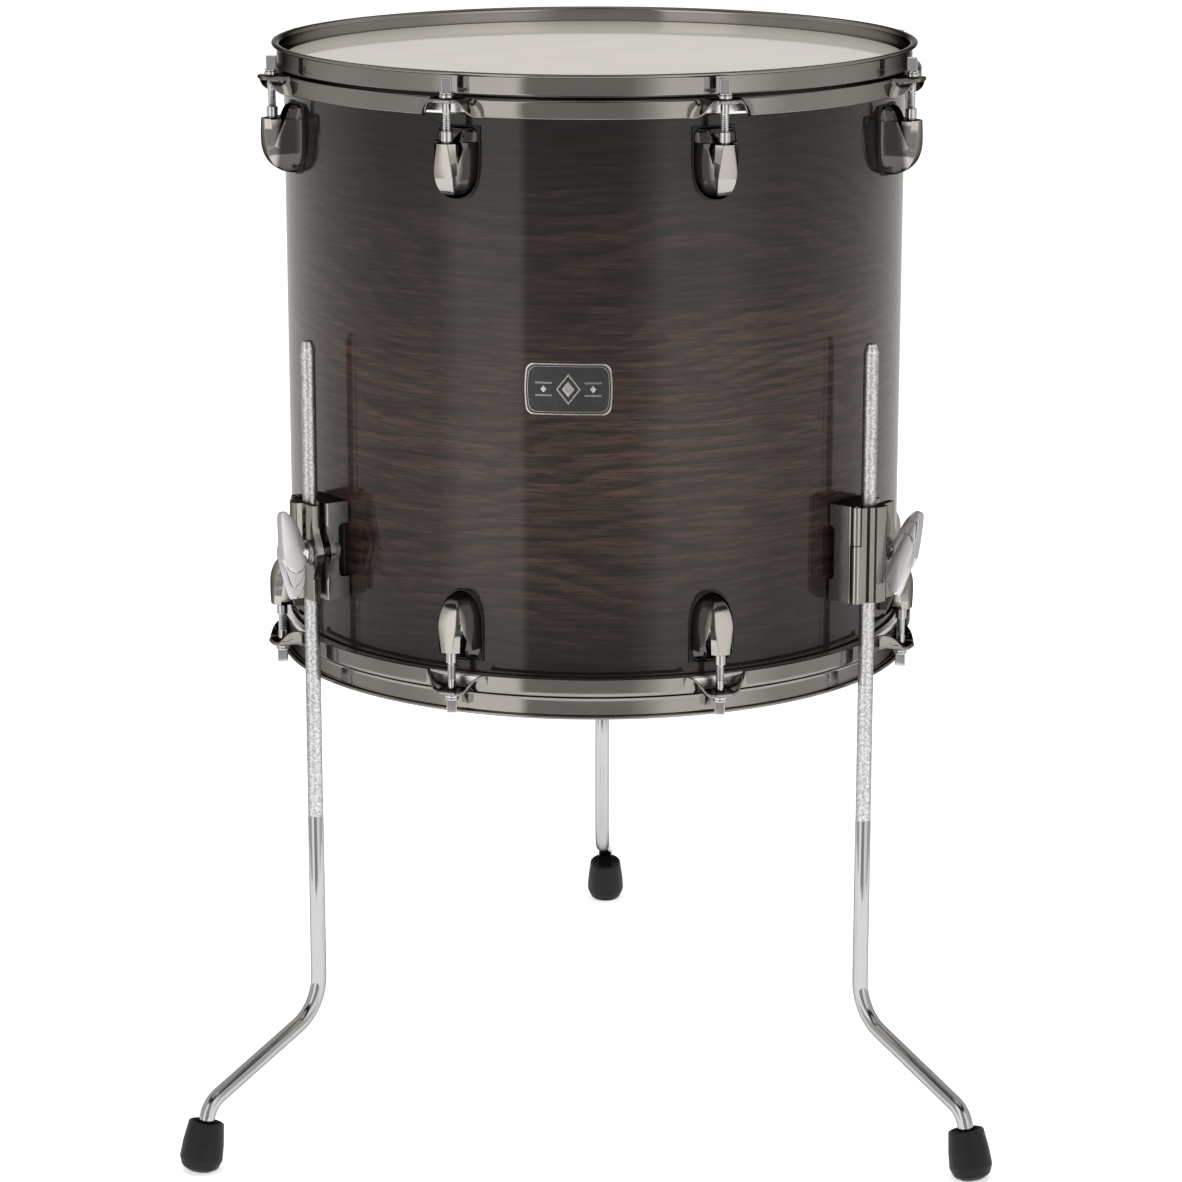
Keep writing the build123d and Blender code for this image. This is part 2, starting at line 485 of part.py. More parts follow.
for end, flip in (("top", lambda piece: piece), ("bottom", upside_down)):
    skin = "batter" if end == "top" else "resonant"
    nodes[f"{skin}_head"] = [flip(make_head())]
    nodes[f"{skin}_flesh_hoop"] = [flip(make_flesh_hoop())]
    nodes[f"{end}_hoop"] = [flip(make_hoop())]
    nodes[f"{end}_lugs"] = round_the_drum(flip(make_lug()), LUG_AZIMUTHS)
    nodes[f"{end}_swivel_nuts"] = round_the_drum(flip(make_swivel_nut()), LUG_AZIMUTHS)
    nodes[f"{end}_rod_washers"] = round_the_drum(flip(make_rod_washer()), LUG_AZIMUTHS)
    for number, azimuth in enumerate(LUG_AZIMUTHS, 1):
        nodes[f"{end}_tension_rod_{number}"] = [turned(flip(make_rod()), azimuth)]

gasket = make_lug_gasket()
screws, washers = [], []
for depth in LUG_SCREWS:
    screws.append(make_inner_screw(SCREW, RIM_Z - depth, 212.0))
    washers.append(make_inner_washer(SCREW, RIM_Z - depth))
for name, pieces in (("lug_gaskets", [gasket]), ("lug_screws", screws), ("lug_washers", washers)):
    both = pieces + [upside_down(piece) for piece in pieces]
    nodes[name] = [copy for piece in both for copy in round_the_drum(piece, LUG_AZIMUTHS)]

bolts = [make_inner_screw(BRACKET_SCREW, BRACKET_Z + drop, 211.8) for drop in BRACKET_SCREWS]
rings = [make_inner_washer(BRACKET_SCREW, BRACKET_Z + drop) for drop in BRACKET_SCREWS]
angles = list(BRACKETS.values())
nodes["bracket_gaskets"] = round_the_drum(make_bracket_gasket(), angles)
nodes["bracket_screws"] = [copy for piece in bolts for copy in round_the_drum(piece, angles)]
nodes["bracket_washers"] = [copy for piece in rings for copy in round_the_drum(piece, angles)]
nodes["clamp_nuts"] = round_the_drum(make_clamp_nut(), angles)
nodes["hinge_pins"] = round_the_drum(make_hinge_pin(), angles)

leg_solid = make_leg()
foot_solid = make_foot(leg_solid)
for side in SIDES:
    nodes[f"{side}_bracket"] = [turned(make_bracket(), BRACKETS[side])]
    nodes[f"{side}_clamp_plate"] = [turned(make_clamp_plate(), BRACKETS[side])]
    nodes[f"{side}_wing_washer"] = [turned(make_wing_washer(), BRACKETS[side])]
    nodes[f"{side}_wing_bolt"] = [turned(make_wing_bolt(side), BRACKETS[side])]
    nodes[f"{side}_leg"] = [at_bracket(leg_solid, side)]
    nodes[f"{side}_foot"] = [at_bracket(foot_solid, side)]

# the feet reach furthest to the front and to the back: the origin goes midway between them
reach = [at_bracket(foot_solid, side).bounding_box() for side in SIDES]
AXIS_Y = -(max(box.max.Y for box in reach) + min(box.min.Y for box in reach)) / 2
print(f"drum axis at Y = {AXIS_Y:.3f} mm")

os.makedirs("parts", exist_ok=True)
for name, pieces in nodes.items():
    solids = [Pos(0, AXIS_Y, 0) * solid for piece in pieces for solid in piece.solids()]
    export_step(Compound(solids) if len(solids) > 1 else solids[0], f"parts/{name}.step")
print(len(nodes), "nodes")
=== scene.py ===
"""The looks of a three-legged floor tom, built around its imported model.

Pieces are modelled in millimetres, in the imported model's frame. A piece that repeats round the drum is
modelled once, with +X radially outward, +Y tangential and Z at its real height, and is then turned to
its azimuth, which is measured about the drum's axis from the front (-Y) towards +X.
"""
import math

import bmesh
import bpy
import numpy as np
from mathutils import Matrix, Vector

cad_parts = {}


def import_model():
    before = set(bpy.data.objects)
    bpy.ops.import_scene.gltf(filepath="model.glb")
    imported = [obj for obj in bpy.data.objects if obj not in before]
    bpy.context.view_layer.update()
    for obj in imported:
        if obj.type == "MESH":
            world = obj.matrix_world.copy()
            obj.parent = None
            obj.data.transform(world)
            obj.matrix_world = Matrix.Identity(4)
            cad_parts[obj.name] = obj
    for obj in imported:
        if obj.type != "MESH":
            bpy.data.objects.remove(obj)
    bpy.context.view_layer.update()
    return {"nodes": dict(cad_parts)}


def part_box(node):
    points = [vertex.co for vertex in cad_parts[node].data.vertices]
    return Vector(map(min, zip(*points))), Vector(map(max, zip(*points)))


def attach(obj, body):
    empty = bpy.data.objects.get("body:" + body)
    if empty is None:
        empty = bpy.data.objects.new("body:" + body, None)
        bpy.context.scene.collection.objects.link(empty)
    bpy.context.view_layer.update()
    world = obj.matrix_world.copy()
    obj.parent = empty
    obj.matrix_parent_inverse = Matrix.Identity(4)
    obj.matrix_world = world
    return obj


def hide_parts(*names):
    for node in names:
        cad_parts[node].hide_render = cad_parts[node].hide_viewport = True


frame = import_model()

# ---------------------------------------------------------------- dimensions, mm
MM = 0.001
ROOT = "drum"
hoop_low, hoop_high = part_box("top_hoop")
resonant_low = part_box("resonant_head")[0]
RIM_Z = hoop_high.z / MM                        # the playing rim
AXIS_Y = (hoop_low.y + hoop_high.y) / 2 / MM    # the drum's axis stands at X = 0
FILM = 0.5
SHELL_RADIUS, SHELL_WALL = 202.0, 7.0
EDGE_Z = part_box("batter_head")[1].z / MM - FILM
LOW_EDGE_Z = resonant_low.z / MM + FILM
MID_Z = (EDGE_Z + LOW_EDGE_Z) / 2
LUG_AZIMUTHS = [(k + 0.5) * 45 for k in range(8)]
ROD_CIRCLE, ROD_RADIUS, THREAD_PITCH = 218.5, 2.7, 1.06
BRACKETS = {"left": -53.6, "right": 53.6, "rear": 180.0}
LEG_SWIVEL = {"left": 15.6, "right": -15.6, "rear": 0.0}
WING_TURN = {"left": 18.0, "right": -24.0, "rear": 12.0}
LEG_AXIS, LEG_RADIUS, LEG_TOP = 220.5, 5.0, 523.5
KNURL_END = 211.0                               # height where the knurl on a leg ends
BOLT_SIDE, BRACKET_Z = 10.6, RIM_Z - 310.4
PIN_SIDE, PIN_AXIS = -14.8, 221.6
PLATE_BACK, PLATE_FACE = 224.3, 229.1
HUB_START = PLATE_FACE + 2.0
BADGE_AZIMUTH, BADGE_Z = -3.0, RIM_Z - 192.6


# ---------------------------------------------------------------- mesh helpers: a part is (points, faces)
def join(*parts):
    """One part from several."""
    points, faces, start = [], [], 0
    for part_points, part_faces in parts:
        points.append(np.asarray(part_points, float))
        faces += [tuple(i + start for i in face) for face in part_faces]
        start += len(part_points)
    return np.vstack(points), faces


def moved(part, x=0.0, y=0.0, z=0.0, about=None, degrees=0.0):
    """A part turned about a coordinate axis through the origin, and then shifted."""
    points = np.asarray(part[0], float)
    if about:
        spin = np.array(Matrix.Rotation(math.radians(degrees), 3, about))
        points = points @ spin.T
    return points + (x, y, z), part[1]


def turned(part, azimuth):
    """A part modelled along +X, carried to its azimuth."""
    return moved(part, about="Z", degrees=azimuth - 90)


def upside_down(part):
    """The same part at the other end of the drum."""
    points = np.array(part[0], float)
    points[:, 2] = 2 * MID_Z - points[:, 2]
    return points, [tuple(reversed(face)) for face in part[1]]


def grid(points, close_rows=True, close_columns=False, caps=False):
    """Quads over a rows x columns array of points."""
    rows, columns = points.shape[:2]
    index = np.arange(rows * columns).reshape(rows, columns)
    next_row = np.roll(index, -1, axis=0)
    quads = np.stack([index, np.roll(index, -1, axis=1), np.roll(next_row, -1, axis=1), next_row], axis=-1)
    quads = quads if close_rows else quads[:-1]
    quads = quads if close_columns else quads[:, :-1]
    faces = [tuple(quad) for quad in quads.reshape(-1, 4).tolist()]
    if caps:
        faces += [tuple(index[:, 0].tolist()), tuple(index[:, -1].tolist())]
    return points.reshape(-1, 3), faces


def lathe(profile, segments=48, closed=False, along="z"):
    """A profile of (radius, height) turned about an axis; a closed profile makes a ring."""
    radius, height = np.asarray(profile, float).T
    angle = np.linspace(0, 2 * math.pi, segments, endpoint=False)[:, None]
    across, beside, up = radius * np.cos(angle), radius * np.sin(angle), height + 0 * angle
    order = (across, beside, up) if along == "z" else (up, across, beside)
    return grid(np.stack(order, axis=-1), True, closed)


def prism(outline, low, high, along="z"):
    """An outline pushed along an axis: (x, y) along z, (y, z) along x, or (x, z) along y."""
    first, second = np.asarray(outline, float).T
    rings = []
    for level in (low, high):
        flat = np.full(len(first), float(level))
        rings.append({"z": (first, second, flat), "x": (flat, first, second),
                      "y": (first, flat, second)}[along])
    points = np.stack([np.stack(ring, axis=-1) for ring in rings], axis=1)
    return grid(points, True, False, caps=True)


def rounded(corners, steps=4):
    """A polygon with its corners, (x, y) or (x, y, radius), rounded by arcs."""
    points = []
    for i, corner in enumerate(corners):
        here = np.array(corner[:2], float)
        if len(corner) < 3:
            points.append(here)
            continue
        back = np.array(corners[i - 1][:2], float) - here
        ahead = np.array(corners[(i + 1) % len(corners)][:2], float) - here
        reach = 0.49 * min(np.linalg.norm(back), np.linalg.norm(ahead))
        back, ahead = back / np.linalg.norm(back), ahead / np.linalg.norm(ahead)
        half = math.acos(np.clip(back @ ahead, -1, 1)) / 2
        cut = min(corner[2] / math.tan(half), reach)
        radius = cut * math.tan(half)
        bisector = (back + ahead) / np.linalg.norm(back + ahead)
        centre = here + bisector * radius / math.sin(half)
        arm = here + back * cut - centre
        turn = math.copysign(math.pi - 2 * half, arm[0] * (here - centre)[1] - arm[1] * (here - centre)[0])
        for k in range(steps + 1):
            a = turn * k / steps
            points.append(centre + (arm[0] * math.cos(a) - arm[1] * math.sin(a),
                                    arm[0] * math.sin(a) + arm[1] * math.cos(a)))
    return np.array(points)


def circle(radius, x=0.0, y=0.0, count=32):
    """Points round a circle."""
    angle = np.linspace(0, 2 * math.pi, count, endpoint=False)
    return np.stack([x + radius * np.cos(angle), y + radius * np.sin(angle)], axis=-1)


def work_object(part):
    """A clean Blender object of a part, in metres."""
    mesh = bpy.data.meshes.new("work")
    mesh.from_pydata((np.asarray(part[0]) * MM).tolist(), [], part[1])
    cleaned = bmesh.new()
    cleaned.from_mesh(mesh)
    bmesh.ops.remove_doubles(cleaned, verts=cleaned.verts, dist=1e-6)
    bmesh.ops.recalc_face_normals(cleaned, faces=cleaned.faces)
    cleaned.to_mesh(mesh)
    cleaned.free()
    obj = bpy.data.objects.new("work", mesh)
    bpy.context.scene.collection.objects.link(obj)
    return obj


def evaluated_mesh(obj):
    """The object's mesh with its modifiers applied."""
    bpy.context.view_layer.update()
    return bpy.data.meshes.new_from_object(obj.evaluated_get(bpy.context.evaluated_depsgraph_get()))


def shaped(part, add=(), cut=(), bevel=0.0, steps=2, angle=28.0):
    """A part after adding and cutting others, with its edges bevelled."""
    obj = work_object(part)
    helpers = []
    for operation, others in (("UNION", add), ("DIFFERENCE", cut)):
        for other in others:
            helper = work_object(other)
            helpers.append(helper)
            step = obj.modifiers.new("join", "BOOLEAN")
            step.operation, step.solver, step.object = operation, "EXACT", helper
    if bevel:
        step = obj.modifiers.new("edges", "BEVEL")
        step.width, step.segments = bevel * MM, steps
        step.limit_method, step.angle_limit = "ANGLE", math.radians(angle)
        step.miter_outer = "MITER_ARC"
    mesh = evaluated_mesh(obj)
    points = np.array([v.co for v in mesh.vertices]) / MM
    faces = [tuple(p.vertices) for p in mesh.polygons]
    for used in helpers + [obj]:
        bpy.data.objects.remove(used)
    return points, faces


def publish(name, parts, body, surface, replaces, angle=35.0, weighted=True):
    """Makes the finished piece: joined, moved onto the drum's axis, shaded, and riding on its body."""
    part = join(*parts) if isinstance(parts, list) else parts
    obj = work_object(moved(part, y=AXIS_Y))
    obj.name = obj.data.name = name
    obj.data.shade_smooth()
    obj.data.set_sharp_from_angle(angle=math.radians(angle))
    obj.data.materials.append(surface)
    if weighted:
        step = obj.modifiers.new("normals", "WEIGHTED_NORMAL")
        step.keep_sharp = True
        mesh = evaluated_mesh(obj)
        obj.modifiers.clear()
        obj.data = mesh
    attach(obj, body)
    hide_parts(*([replaces] if isinstance(replaces, str) else replaces))
    return obj


# ---------------------------------------------------------------- materials
def shader(name, slot, colour, metallic=0.0, roughness=0.5, **sockets):
    """A Principled material; what is uniform is set on the shader's own sockets."""
    made = bpy.data.materials.new(name)
    made.use_nodes = True
    made["slot"] = slot
    principled = made.node_tree.nodes["Principled BSDF"]
    principled.inputs["Base Color"].default_value = (*colour, 1.0)
    principled.inputs["Metallic"].default_value = metallic
    principled.inputs["Roughness"].default_value = roughness
    for socket, value in sockets.items():
        principled.inputs[socket.replace("_", " ")].default_value = value
    return made


def node(tree, kind, settings=None, **inputs):
    """A node with its settings and inputs; an input may be a value or another node's output."""
    made = tree.nodes.new("ShaderNode" + kind)
    for key, value in (settings or {}).items():
        setattr(made, key, value)
    for key, value in inputs.items():
        key = int(key[1:]) if key[0] == "i" and key[1:].isdigit() else key.replace("_", " ")
        if isinstance(value, bpy.types.NodeSocket):
            tree.links.new(value, made.inputs[key])
        else:
            made.inputs[key].default_value = value
    return made


def maths(tree, operation, first, second=0.0, clamp=False):
    """The output of one Math node."""
    return node(tree, "Math", {"operation": operation, "use_clamp": clamp}, i0=first, i1=second).outputs[0]


def object_point(tree):
    """Object coordinates: they stay with the piece."""
    return node(tree, "TexCoord").outputs["Object"]


def noise(tree, scale, detail=3.0, roughness=0.5, vector=None, stretch=(1, 1, 1)):
    """Noise over the object's own coordinates."""
    place = node(tree, "Mapping", Vector=vector or object_point(tree), Scale=stretch)
    return node(tree, "TexNoise", Vector=place.outputs[0], Scale=scale, Detail=detail,
                Roughness=roughness).outputs["Fac"]


def spread(tree, value, low, high, from_low=0.3, from_high=0.7):
    """A value mapped to a range."""
    return node(tree, "MapRange", i0=value, i1=from_low, i2=from_high, i3=low, i4=high).outputs[0]


def worn(made, scale, rough, tint=None, relief=0.0, relief_scale=None):
    """Gives a material uneven roughness, an uneven tint and a fine relief."""
    tree = made.node_tree
    principled = tree.nodes["Principled BSDF"]
    patch = noise(tree, scale, 5.0, 0.6)
    tree.links.new(spread(tree, patch, *rough), principled.inputs["Roughness"])
    if tint:
        mix = node(tree, "Mix", {"data_type": "RGBA"}, i0=spread(tree, noise(tree, scale * 0.37), 0.0, 1.0),
                   i6=(*tint[0], 1.0), i7=(*tint[1], 1.0))
        tree.links.new(mix.outputs[2], principled.inputs["Base Color"])
    if relief:
        grain = noise(tree, relief_scale or scale * 6, 4.0, 0.6)
        bump = node(tree, "Bump", Strength=1.0, Distance=relief, Height=grain)
        tree.links.new(bump.outputs[0], principled.inputs["Normal"])
    return made


def from_axis(tree):
    """The distance from the drum's axis, in metres."""
    place = node(tree, "SeparateXYZ", Vector=object_point(tree)).outputs
    depth = maths(tree, "SUBTRACT", place[1], AXIS_Y * MM)
    across = maths(tree, "MULTIPLY", place[0], place[0])
    return maths(tree, "SQRT", maths(tree, "ADD", across, maths(tree, "MULTIPLY", depth, depth)))


def painted_recess_shade(made, proud, painted_shade):
    """Plating that is bright on the proud faces, with painted shade that makes it nearly black in the
    recesses towards the shell.
    """
    tree = made.node_tree
    # painted shade: the colour turns nearly black closer to the drum's axis, where the lug's recesses are in
    # shade
    share = spread(tree, from_axis(tree), 0.0, 1.0, 0.2160, 0.2190)
    mix = node(tree, "Mix", {"data_type": "RGBA"}, i0=share, i6=(*painted_shade, 1.0), i7=(*proud, 1.0))
    tree.links.new(mix.outputs[2], tree.nodes["Principled BSDF"].inputs["Base Color"])
    return made


def knurl_roughness_and_painted_glints(made, rough, plain, painted_valley_shade, painted_crest_glint):
    """Above the height where its knurl starts, a bar is dull and speckled with painted glints and painted
    shade; below, it is plainly polished.
    """
    tree = made.node_tree
    principled = tree.nodes["Principled BSDF"]
    height = node(tree, "SeparateXYZ", Vector=object_point(tree)).outputs[2]
    above = maths(tree, "GREATER_THAN", height, KNURL_END * MM)
    smooth = principled.inputs["Roughness"].links[0].from_socket
    mix = node(tree, "Mix", {"data_type": "FLOAT"}, i0=above, i2=smooth, i3=rough)
    tree.links.new(mix.outputs[0], principled.inputs["Roughness"])
    # painted glints and shade: a random speckle between a dark valley colour and a bright crest colour stands
    # in for the knurl's facets catching light
    painted_glint_speckle = spread(tree, noise(tree, 620.0, 1.0), 0.0, 1.0, 0.38, 0.62)
    cut = node(tree, "Mix", {"data_type": "RGBA"}, i0=painted_glint_speckle, i6=(*painted_valley_shade, 1.0), i7=(*painted_crest_glint, 1.0))
    tone = node(tree, "Mix", {"data_type": "RGBA"}, i0=above, i6=(*plain, 1.0), i7=cut.outputs[2])
    tree.links.new(tone.outputs[2], principled.inputs["Base Color"])
    return made


def oak_surface():
    """Dark stained oak under a thick clear lacquer, with the grain running round the shell."""
    made = shader("dark_oak_lacquer", "oak_shell", (0.03, 0.024, 0.02), 0.0, 0.42,
                  Coat_Weight=0.72, Coat_Roughness=0.025, Coat_IOR=1.5, Specular_IOR_Level=0.15)
    tree = made.node_tree
    principled = tree.nodes["Principled BSDF"]
    place = node(tree, "SeparateXYZ", Vector=object_point(tree)).outputs
    depth = maths(tree, "SUBTRACT", AXIS_Y * MM, place[1])
    angle = maths(tree, "ARCTAN2", place[0], depth)
    around = maths(tree, "MULTIPLY", angle, SHELL_RADIUS * MM)
    sheet = node(tree, "CombineXYZ", X=around, Y=place[2], Z=0.37).outputs[0]
    wander = noise(tree, 1.0, 2.0, 0.45, sheet, (3.2, 9.0, 1.0))
    ripple = noise(tree, 1.0, 3.0, 0.55, sheet, (13.0, 46.0, 1.0))
    figure = maths(tree, "ADD", place[2], maths(tree, "MULTIPLY", wander, 0.16))
    figure = maths(tree, "ADD", figure, maths(tree, "MULTIPLY", ripple, 0.020))
    rings = maths(tree, "FRACT", maths(tree, "MULTIPLY", figure, 92.0))
    early = node(tree, "MapRange", {"interpolation_type": "SMOOTHSTEP"},
                 i0=rings, i1=0.0, i2=0.62, i3=0.0, i4=1.0).outputs[0]
    late = node(tree, "MapRange", {"interpolation_type": "SMOOTHSTEP"},
                i0=rings, i1=0.80, i2=1.0, i3=1.0, i4=0.0).outputs[0]
    bands = maths(tree, "MULTIPLY", early, late)
    broad = noise(tree, 1.0, 3.0, 0.55, sheet, (4.0, 26.0, 1.0))
    pores = spread(tree, noise(tree, 1.0, 2.0, 0.5, sheet, (85.0, 1150.0, 1.0)), 0.0, 1.0, 0.53, 0.66)
    streaks = spread(tree, noise(tree, 1.0, 4.0, 0.65, sheet, (26.0, 420.0, 1.0)), 0.0, 1.0, 0.34, 0.66)
    tone = maths(tree, "MULTIPLY", bands, spread(tree, broad, 0.25, 1.0, 0.36, 0.64))
    tone = maths(tree, "ADD", maths(tree, "MULTIPLY", tone, 0.42), maths(tree, "MULTIPLY", streaks, 0.58))
    tone = maths(tree, "MULTIPLY", tone, maths(tree, "SUBTRACT", 1.0, maths(tree, "MULTIPLY", pores, 0.6)))
    ramp = node(tree, "ValToRGB", Fac=tone)
    stops = ramp.color_ramp.elements
    stops[0].position, stops[0].color = 0.05, (0.0085, 0.0052, 0.0045, 1)
    stops[1].position, stops[1].color = 0.95, (0.066, 0.035, 0.026, 1)
    middle = stops.new(0.45)
    middle.color = (0.026, 0.0155, 0.0125, 1)
    # the stain is darker towards both ends of the shell
    height = spread(tree, maths(tree, "ABSOLUTE", maths(tree, "SUBTRACT", place[2], (MID_Z - 20) * MM)),
                    1.0, 0.16, 0.045, 0.175)
    shade = node(tree, "Mix", {"data_type": "RGBA", "blend_type": "MULTIPLY"}, i0=1.0, i6=ramp.outputs[0])
    level = node(tree, "CombineXYZ", X=height, Y=height, Z=height)
    tree.links.new(level.outputs[0], shade.inputs[7])
    tree.links.new(shade.outputs[2], principled.inputs["Base Color"])
    bump = node(tree, "Bump", Strength=0.35, Distance=0.0002, Height=maths(tree, "SUBTRACT", tone, pores))
    tree.links.new(bump.outputs[0], principled.inputs["Normal"])
    return made


OAK = oak_surface()
PAINTED_EDGE_SHADE = (0.12, 0.12, 0.12, 1.0)      # painted shade: a dark edge tint that darkens polished metal's gloss where it turns away, standing in for dark reflections at its outlines
NICKEL = worn(shader("black_nickel", "black_nickel_hoop", (0.285, 0.275, 0.260), 1.0, 0.07,
                      Specular_Tint=PAINTED_EDGE_SHADE), 60.0,
              (0.045, 0.10), ((0.298, 0.287, 0.271), (0.272, 0.262, 0.248)))
CASTING = worn(shader("black_nickel_cast", "black_nickel_casting", (0.395, 0.380, 0.358), 1.0, 0.09,
                      Specular_Tint=PAINTED_EDGE_SHADE), 90.0,
               (0.06, 0.13), ((0.415, 0.399, 0.376), (0.375, 0.361, 0.340)), 0.00004, 260.0)
# the lugs' plating, with painted shade that darkens its recesses towards the shell
LUG_CASTING_PAINTED_SHADE = painted_recess_shade(worn(shader("black_nickel_lug_painted_shade", "black_nickel_casting", (0.42, 0.40, 0.38), 1.0, 0.09,
                                   Specular_Tint=PAINTED_EDGE_SHADE),
                            90.0, (0.06, 0.13), None, 0.00004, 260.0),
                       (0.43, 0.415, 0.395), (0.10, 0.096, 0.090))
CHROME = worn(shader("chrome", "chrome_hardware", (0.60, 0.605, 0.615), 1.0, 0.06), 120.0,
              (0.04, 0.10), ((0.62, 0.625, 0.635), (0.58, 0.585, 0.595)))
# the legs' chrome, with painted glints and painted shade speckled over the knurl
LEG_CHROME = knurl_roughness_and_painted_glints(worn(shader("leg_chrome", "chrome_hardware", (0.47, 0.475, 0.485), 1.0, 0.06,
                                 Specular_Tint=PAINTED_EDGE_SHADE), 120.0, (0.04, 0.10)),
                     0.34, (0.49, 0.495, 0.505), (0.46, 0.465, 0.475), (0.80, 0.805, 0.815))
SATIN = worn(shader("satin_alloy", "satin_wing", (0.70, 0.70, 0.715), 1.0, 0.2,
                    Specular_Tint=PAINTED_EDGE_SHADE), 150.0,
             (0.17, 0.23), ((0.72, 0.72, 0.735), (0.67, 0.67, 0.685)), 0.00001, 900.0)
ALUMINIUM = worn(shader("flesh_hoop_aluminium", "plain_aluminium", (0.80, 0.80, 0.79), 1.0, 0.28), 90.0,
                 (0.2, 0.34), ((0.83, 0.83, 0.82), (0.74, 0.74, 0.73)), 0.00004, 500.0)
ZINC = worn(shader("zinc_plate", "zinc_hardware", (0.55, 0.55, 0.53), 1.0, 0.35), 160.0,
            (0.25, 0.45), ((0.60, 0.60, 0.58), (0.46, 0.46, 0.47)), 0.00004, 700.0)
GASKET = worn(shader("black_gasket", "black_gasket", (0.012, 0.012, 0.012), 0.0, 0.6), 200.0,
              (0.5, 0.7), ((0.015, 0.015, 0.015), (0.009, 0.009, 0.009)), 0.00005, 900.0)
RUBBER = worn(shader("black_rubber", "black_rubber", (0.010, 0.010, 0.011), 0.0, 0.5,
                     Specular_IOR_Level=0.22), 140.0,
              (0.42, 0.60), ((0.012, 0.012, 0.013), (0.008, 0.008, 0.009)), 0.00008, 1100.0)
FILM_SKIN = worn(shader("clear_coated_film", "drum_film", (0.47, 0.45, 0.395), 0.0, 0.35,
                        Coat_Weight=0.6, Coat_Roughness=0.05), 25.0,
                 (0.30, 0.42), ((0.48, 0.46, 0.405), (0.455, 0.435, 0.38)), 0.00002, 1400.0)
ENAMEL = worn(shader("badge_enamel", "badge_metal", (0.012, 0.012, 0.013), 0.0, 0.3,
                     Coat_Weight=1.0, Coat_Roughness=0.05), 220.0, (0.25, 0.4),
              ((0.016, 0.016, 0.017), (0.008, 0.008, 0.009)), 0.00003, 900.0)
BADGE_METAL = worn(shader("badge_bright_metal", "badge_metal", (0.72, 0.71, 0.68), 1.0, 0.25), 200.0,
                   (0.18, 0.32), ((0.76, 0.75, 0.72), (0.66, 0.65, 0.62)), 0.00003, 900.0)


# ---------------------------------------------------------------- shell, heads and hoops
def shell():
    """The wooden cylinder: bearing edges, softened outer corners and the vent hole."""
    bore, high = SHELL_RADIUS - SHELL_WALL, EDGE_Z
    peak, low = SHELL_RADIUS - 1.5, LOW_EDGE_Z
    slope = peak - bore
    profile = rounded([(bore, low + slope, 0.6), (peak, low, 0.5), (SHELL_RADIUS, low + 1.5, 0.8),
                       (SHELL_RADIUS, high - 1.5, 0.8), (peak, high, 0.5), (bore, high - slope, 0.6)], 3)
    wall = lathe(profile, 288, closed=True)
    hole = turned(prism(circle(5.3, 0, MID_Z, 40), bore - 5, SHELL_RADIUS + 5, along="x"), 135)
    return shaped(wall, cut=[hole])


def head():
    """Film over the bearing edge: flat, rolled over the edge, and down outside the shell."""
    edge, collar = SHELL_RADIUS - 1.2, SHELL_RADIUS + 0.75
    inside = [(0, EDGE_Z), (edge - 6, EDGE_Z), (edge, EDGE_Z), (collar, EDGE_Z - 2.2), (collar, EDGE_Z - 10)]
    outside = [(x + (0.45 if x > edge else 0.0), z + (FILM if z > EDGE_Z - 9 else 0.0)) for x, z in inside]
    outside[-1] = (collar + FILM, EDGE_Z - 10)
    profile = rounded([inside[0], inside[1], (*inside[2], 2.0), (*inside[3], 2.0), inside[4],
                       outside[4], (*outside[3], 2.0), (*outside[2], 2.0), outside[1], outside[0]], 4)
    return lathe(profile, 240, closed=True)


def flesh_hoop():
    """The aluminium channel that carries the film."""
    inner, outer = SHELL_RADIUS + 1.5, 209.6
    high, low = RIM_Z - 18.0, RIM_Z - 25.6
    return lathe(rounded([(inner, low, 0.8), (outer - 1.2, low, 0.8), (outer, low + 1.6, 1.0),
                          (outer, high, 1.2), (inner, high, 0.8)], 4), 240, closed=True)


def hoop_section(side):
    """The pressed section at a distance, mm, beside a rod: the skirt folds out there into the rod's ear."""
    steel, ear_half, flare_half, bend = 2.3, 7.5, 22.0, 1.4
    bend_start, away = 75.0, abs(side)
    line = [(208.5, -1.15), (207.3, -1.15), (206.4, -1.22), (205.7, -1.55), (205.25, -2.2), (205.15, -3.1),
            (205.15, -7.0), (205.15, -11.3), (205.22, -12.3), (205.6, -13.5), (206.5, -14.6),
            (207.8, -15.35), (209.2, -15.8), (210.3, -16.1)]
    flare = math.cos(math.pi / 2 * min(max(away - ear_half, 0.0) / (flare_half - ear_half), 1.0)) ** 2
    fold, length = 90.0 * flare, 8.4 + 4.9 * flare
    if away <= ear_half:
        length = 15.0 - 1.7 * (max(away - 4.5, 0.0) / 3.0) ** 2
    x, z = line[-1]
    turns = 5
    for k in range(turns):
        way = math.radians(bend_start + (fold - bend_start) * (k + 0.5) / turns)
        step = bend * math.radians(abs(bend_start - fold)) / turns
        x, z = x + step * math.sin(way), z - step * math.cos(way)
        line.append((x, z))
    way = math.radians(fold)
    for share in (0.25, 0.5, 0.75, 1.0):
        line.append((x + share * length * math.sin(way), z - share * length * math.cos(way)))
    line = np.array(line)
    along = np.gradient(line, axis=0)
    along /= np.linalg.norm(along, axis=1)[:, None]
    normal = np.stack([-along[:, 1], along[:, 0]], axis=-1) * steel / 2
    end, start = line[-1], line[0]
    nose = [end + normal[-1] * c + along[-1] * s * steel / 2
            for c, s in ((0.75, 0.45), (0, 0.62), (-0.75, 0.45))]
    lip = [start - normal[0] * c - along[0] * s * steel / 2 for c, s in ((0.7, 0.7), (0, 1.0), (-0.7, 0.7))]
    return np.vstack([line + normal, nose, (line - normal)[::-1], lip])


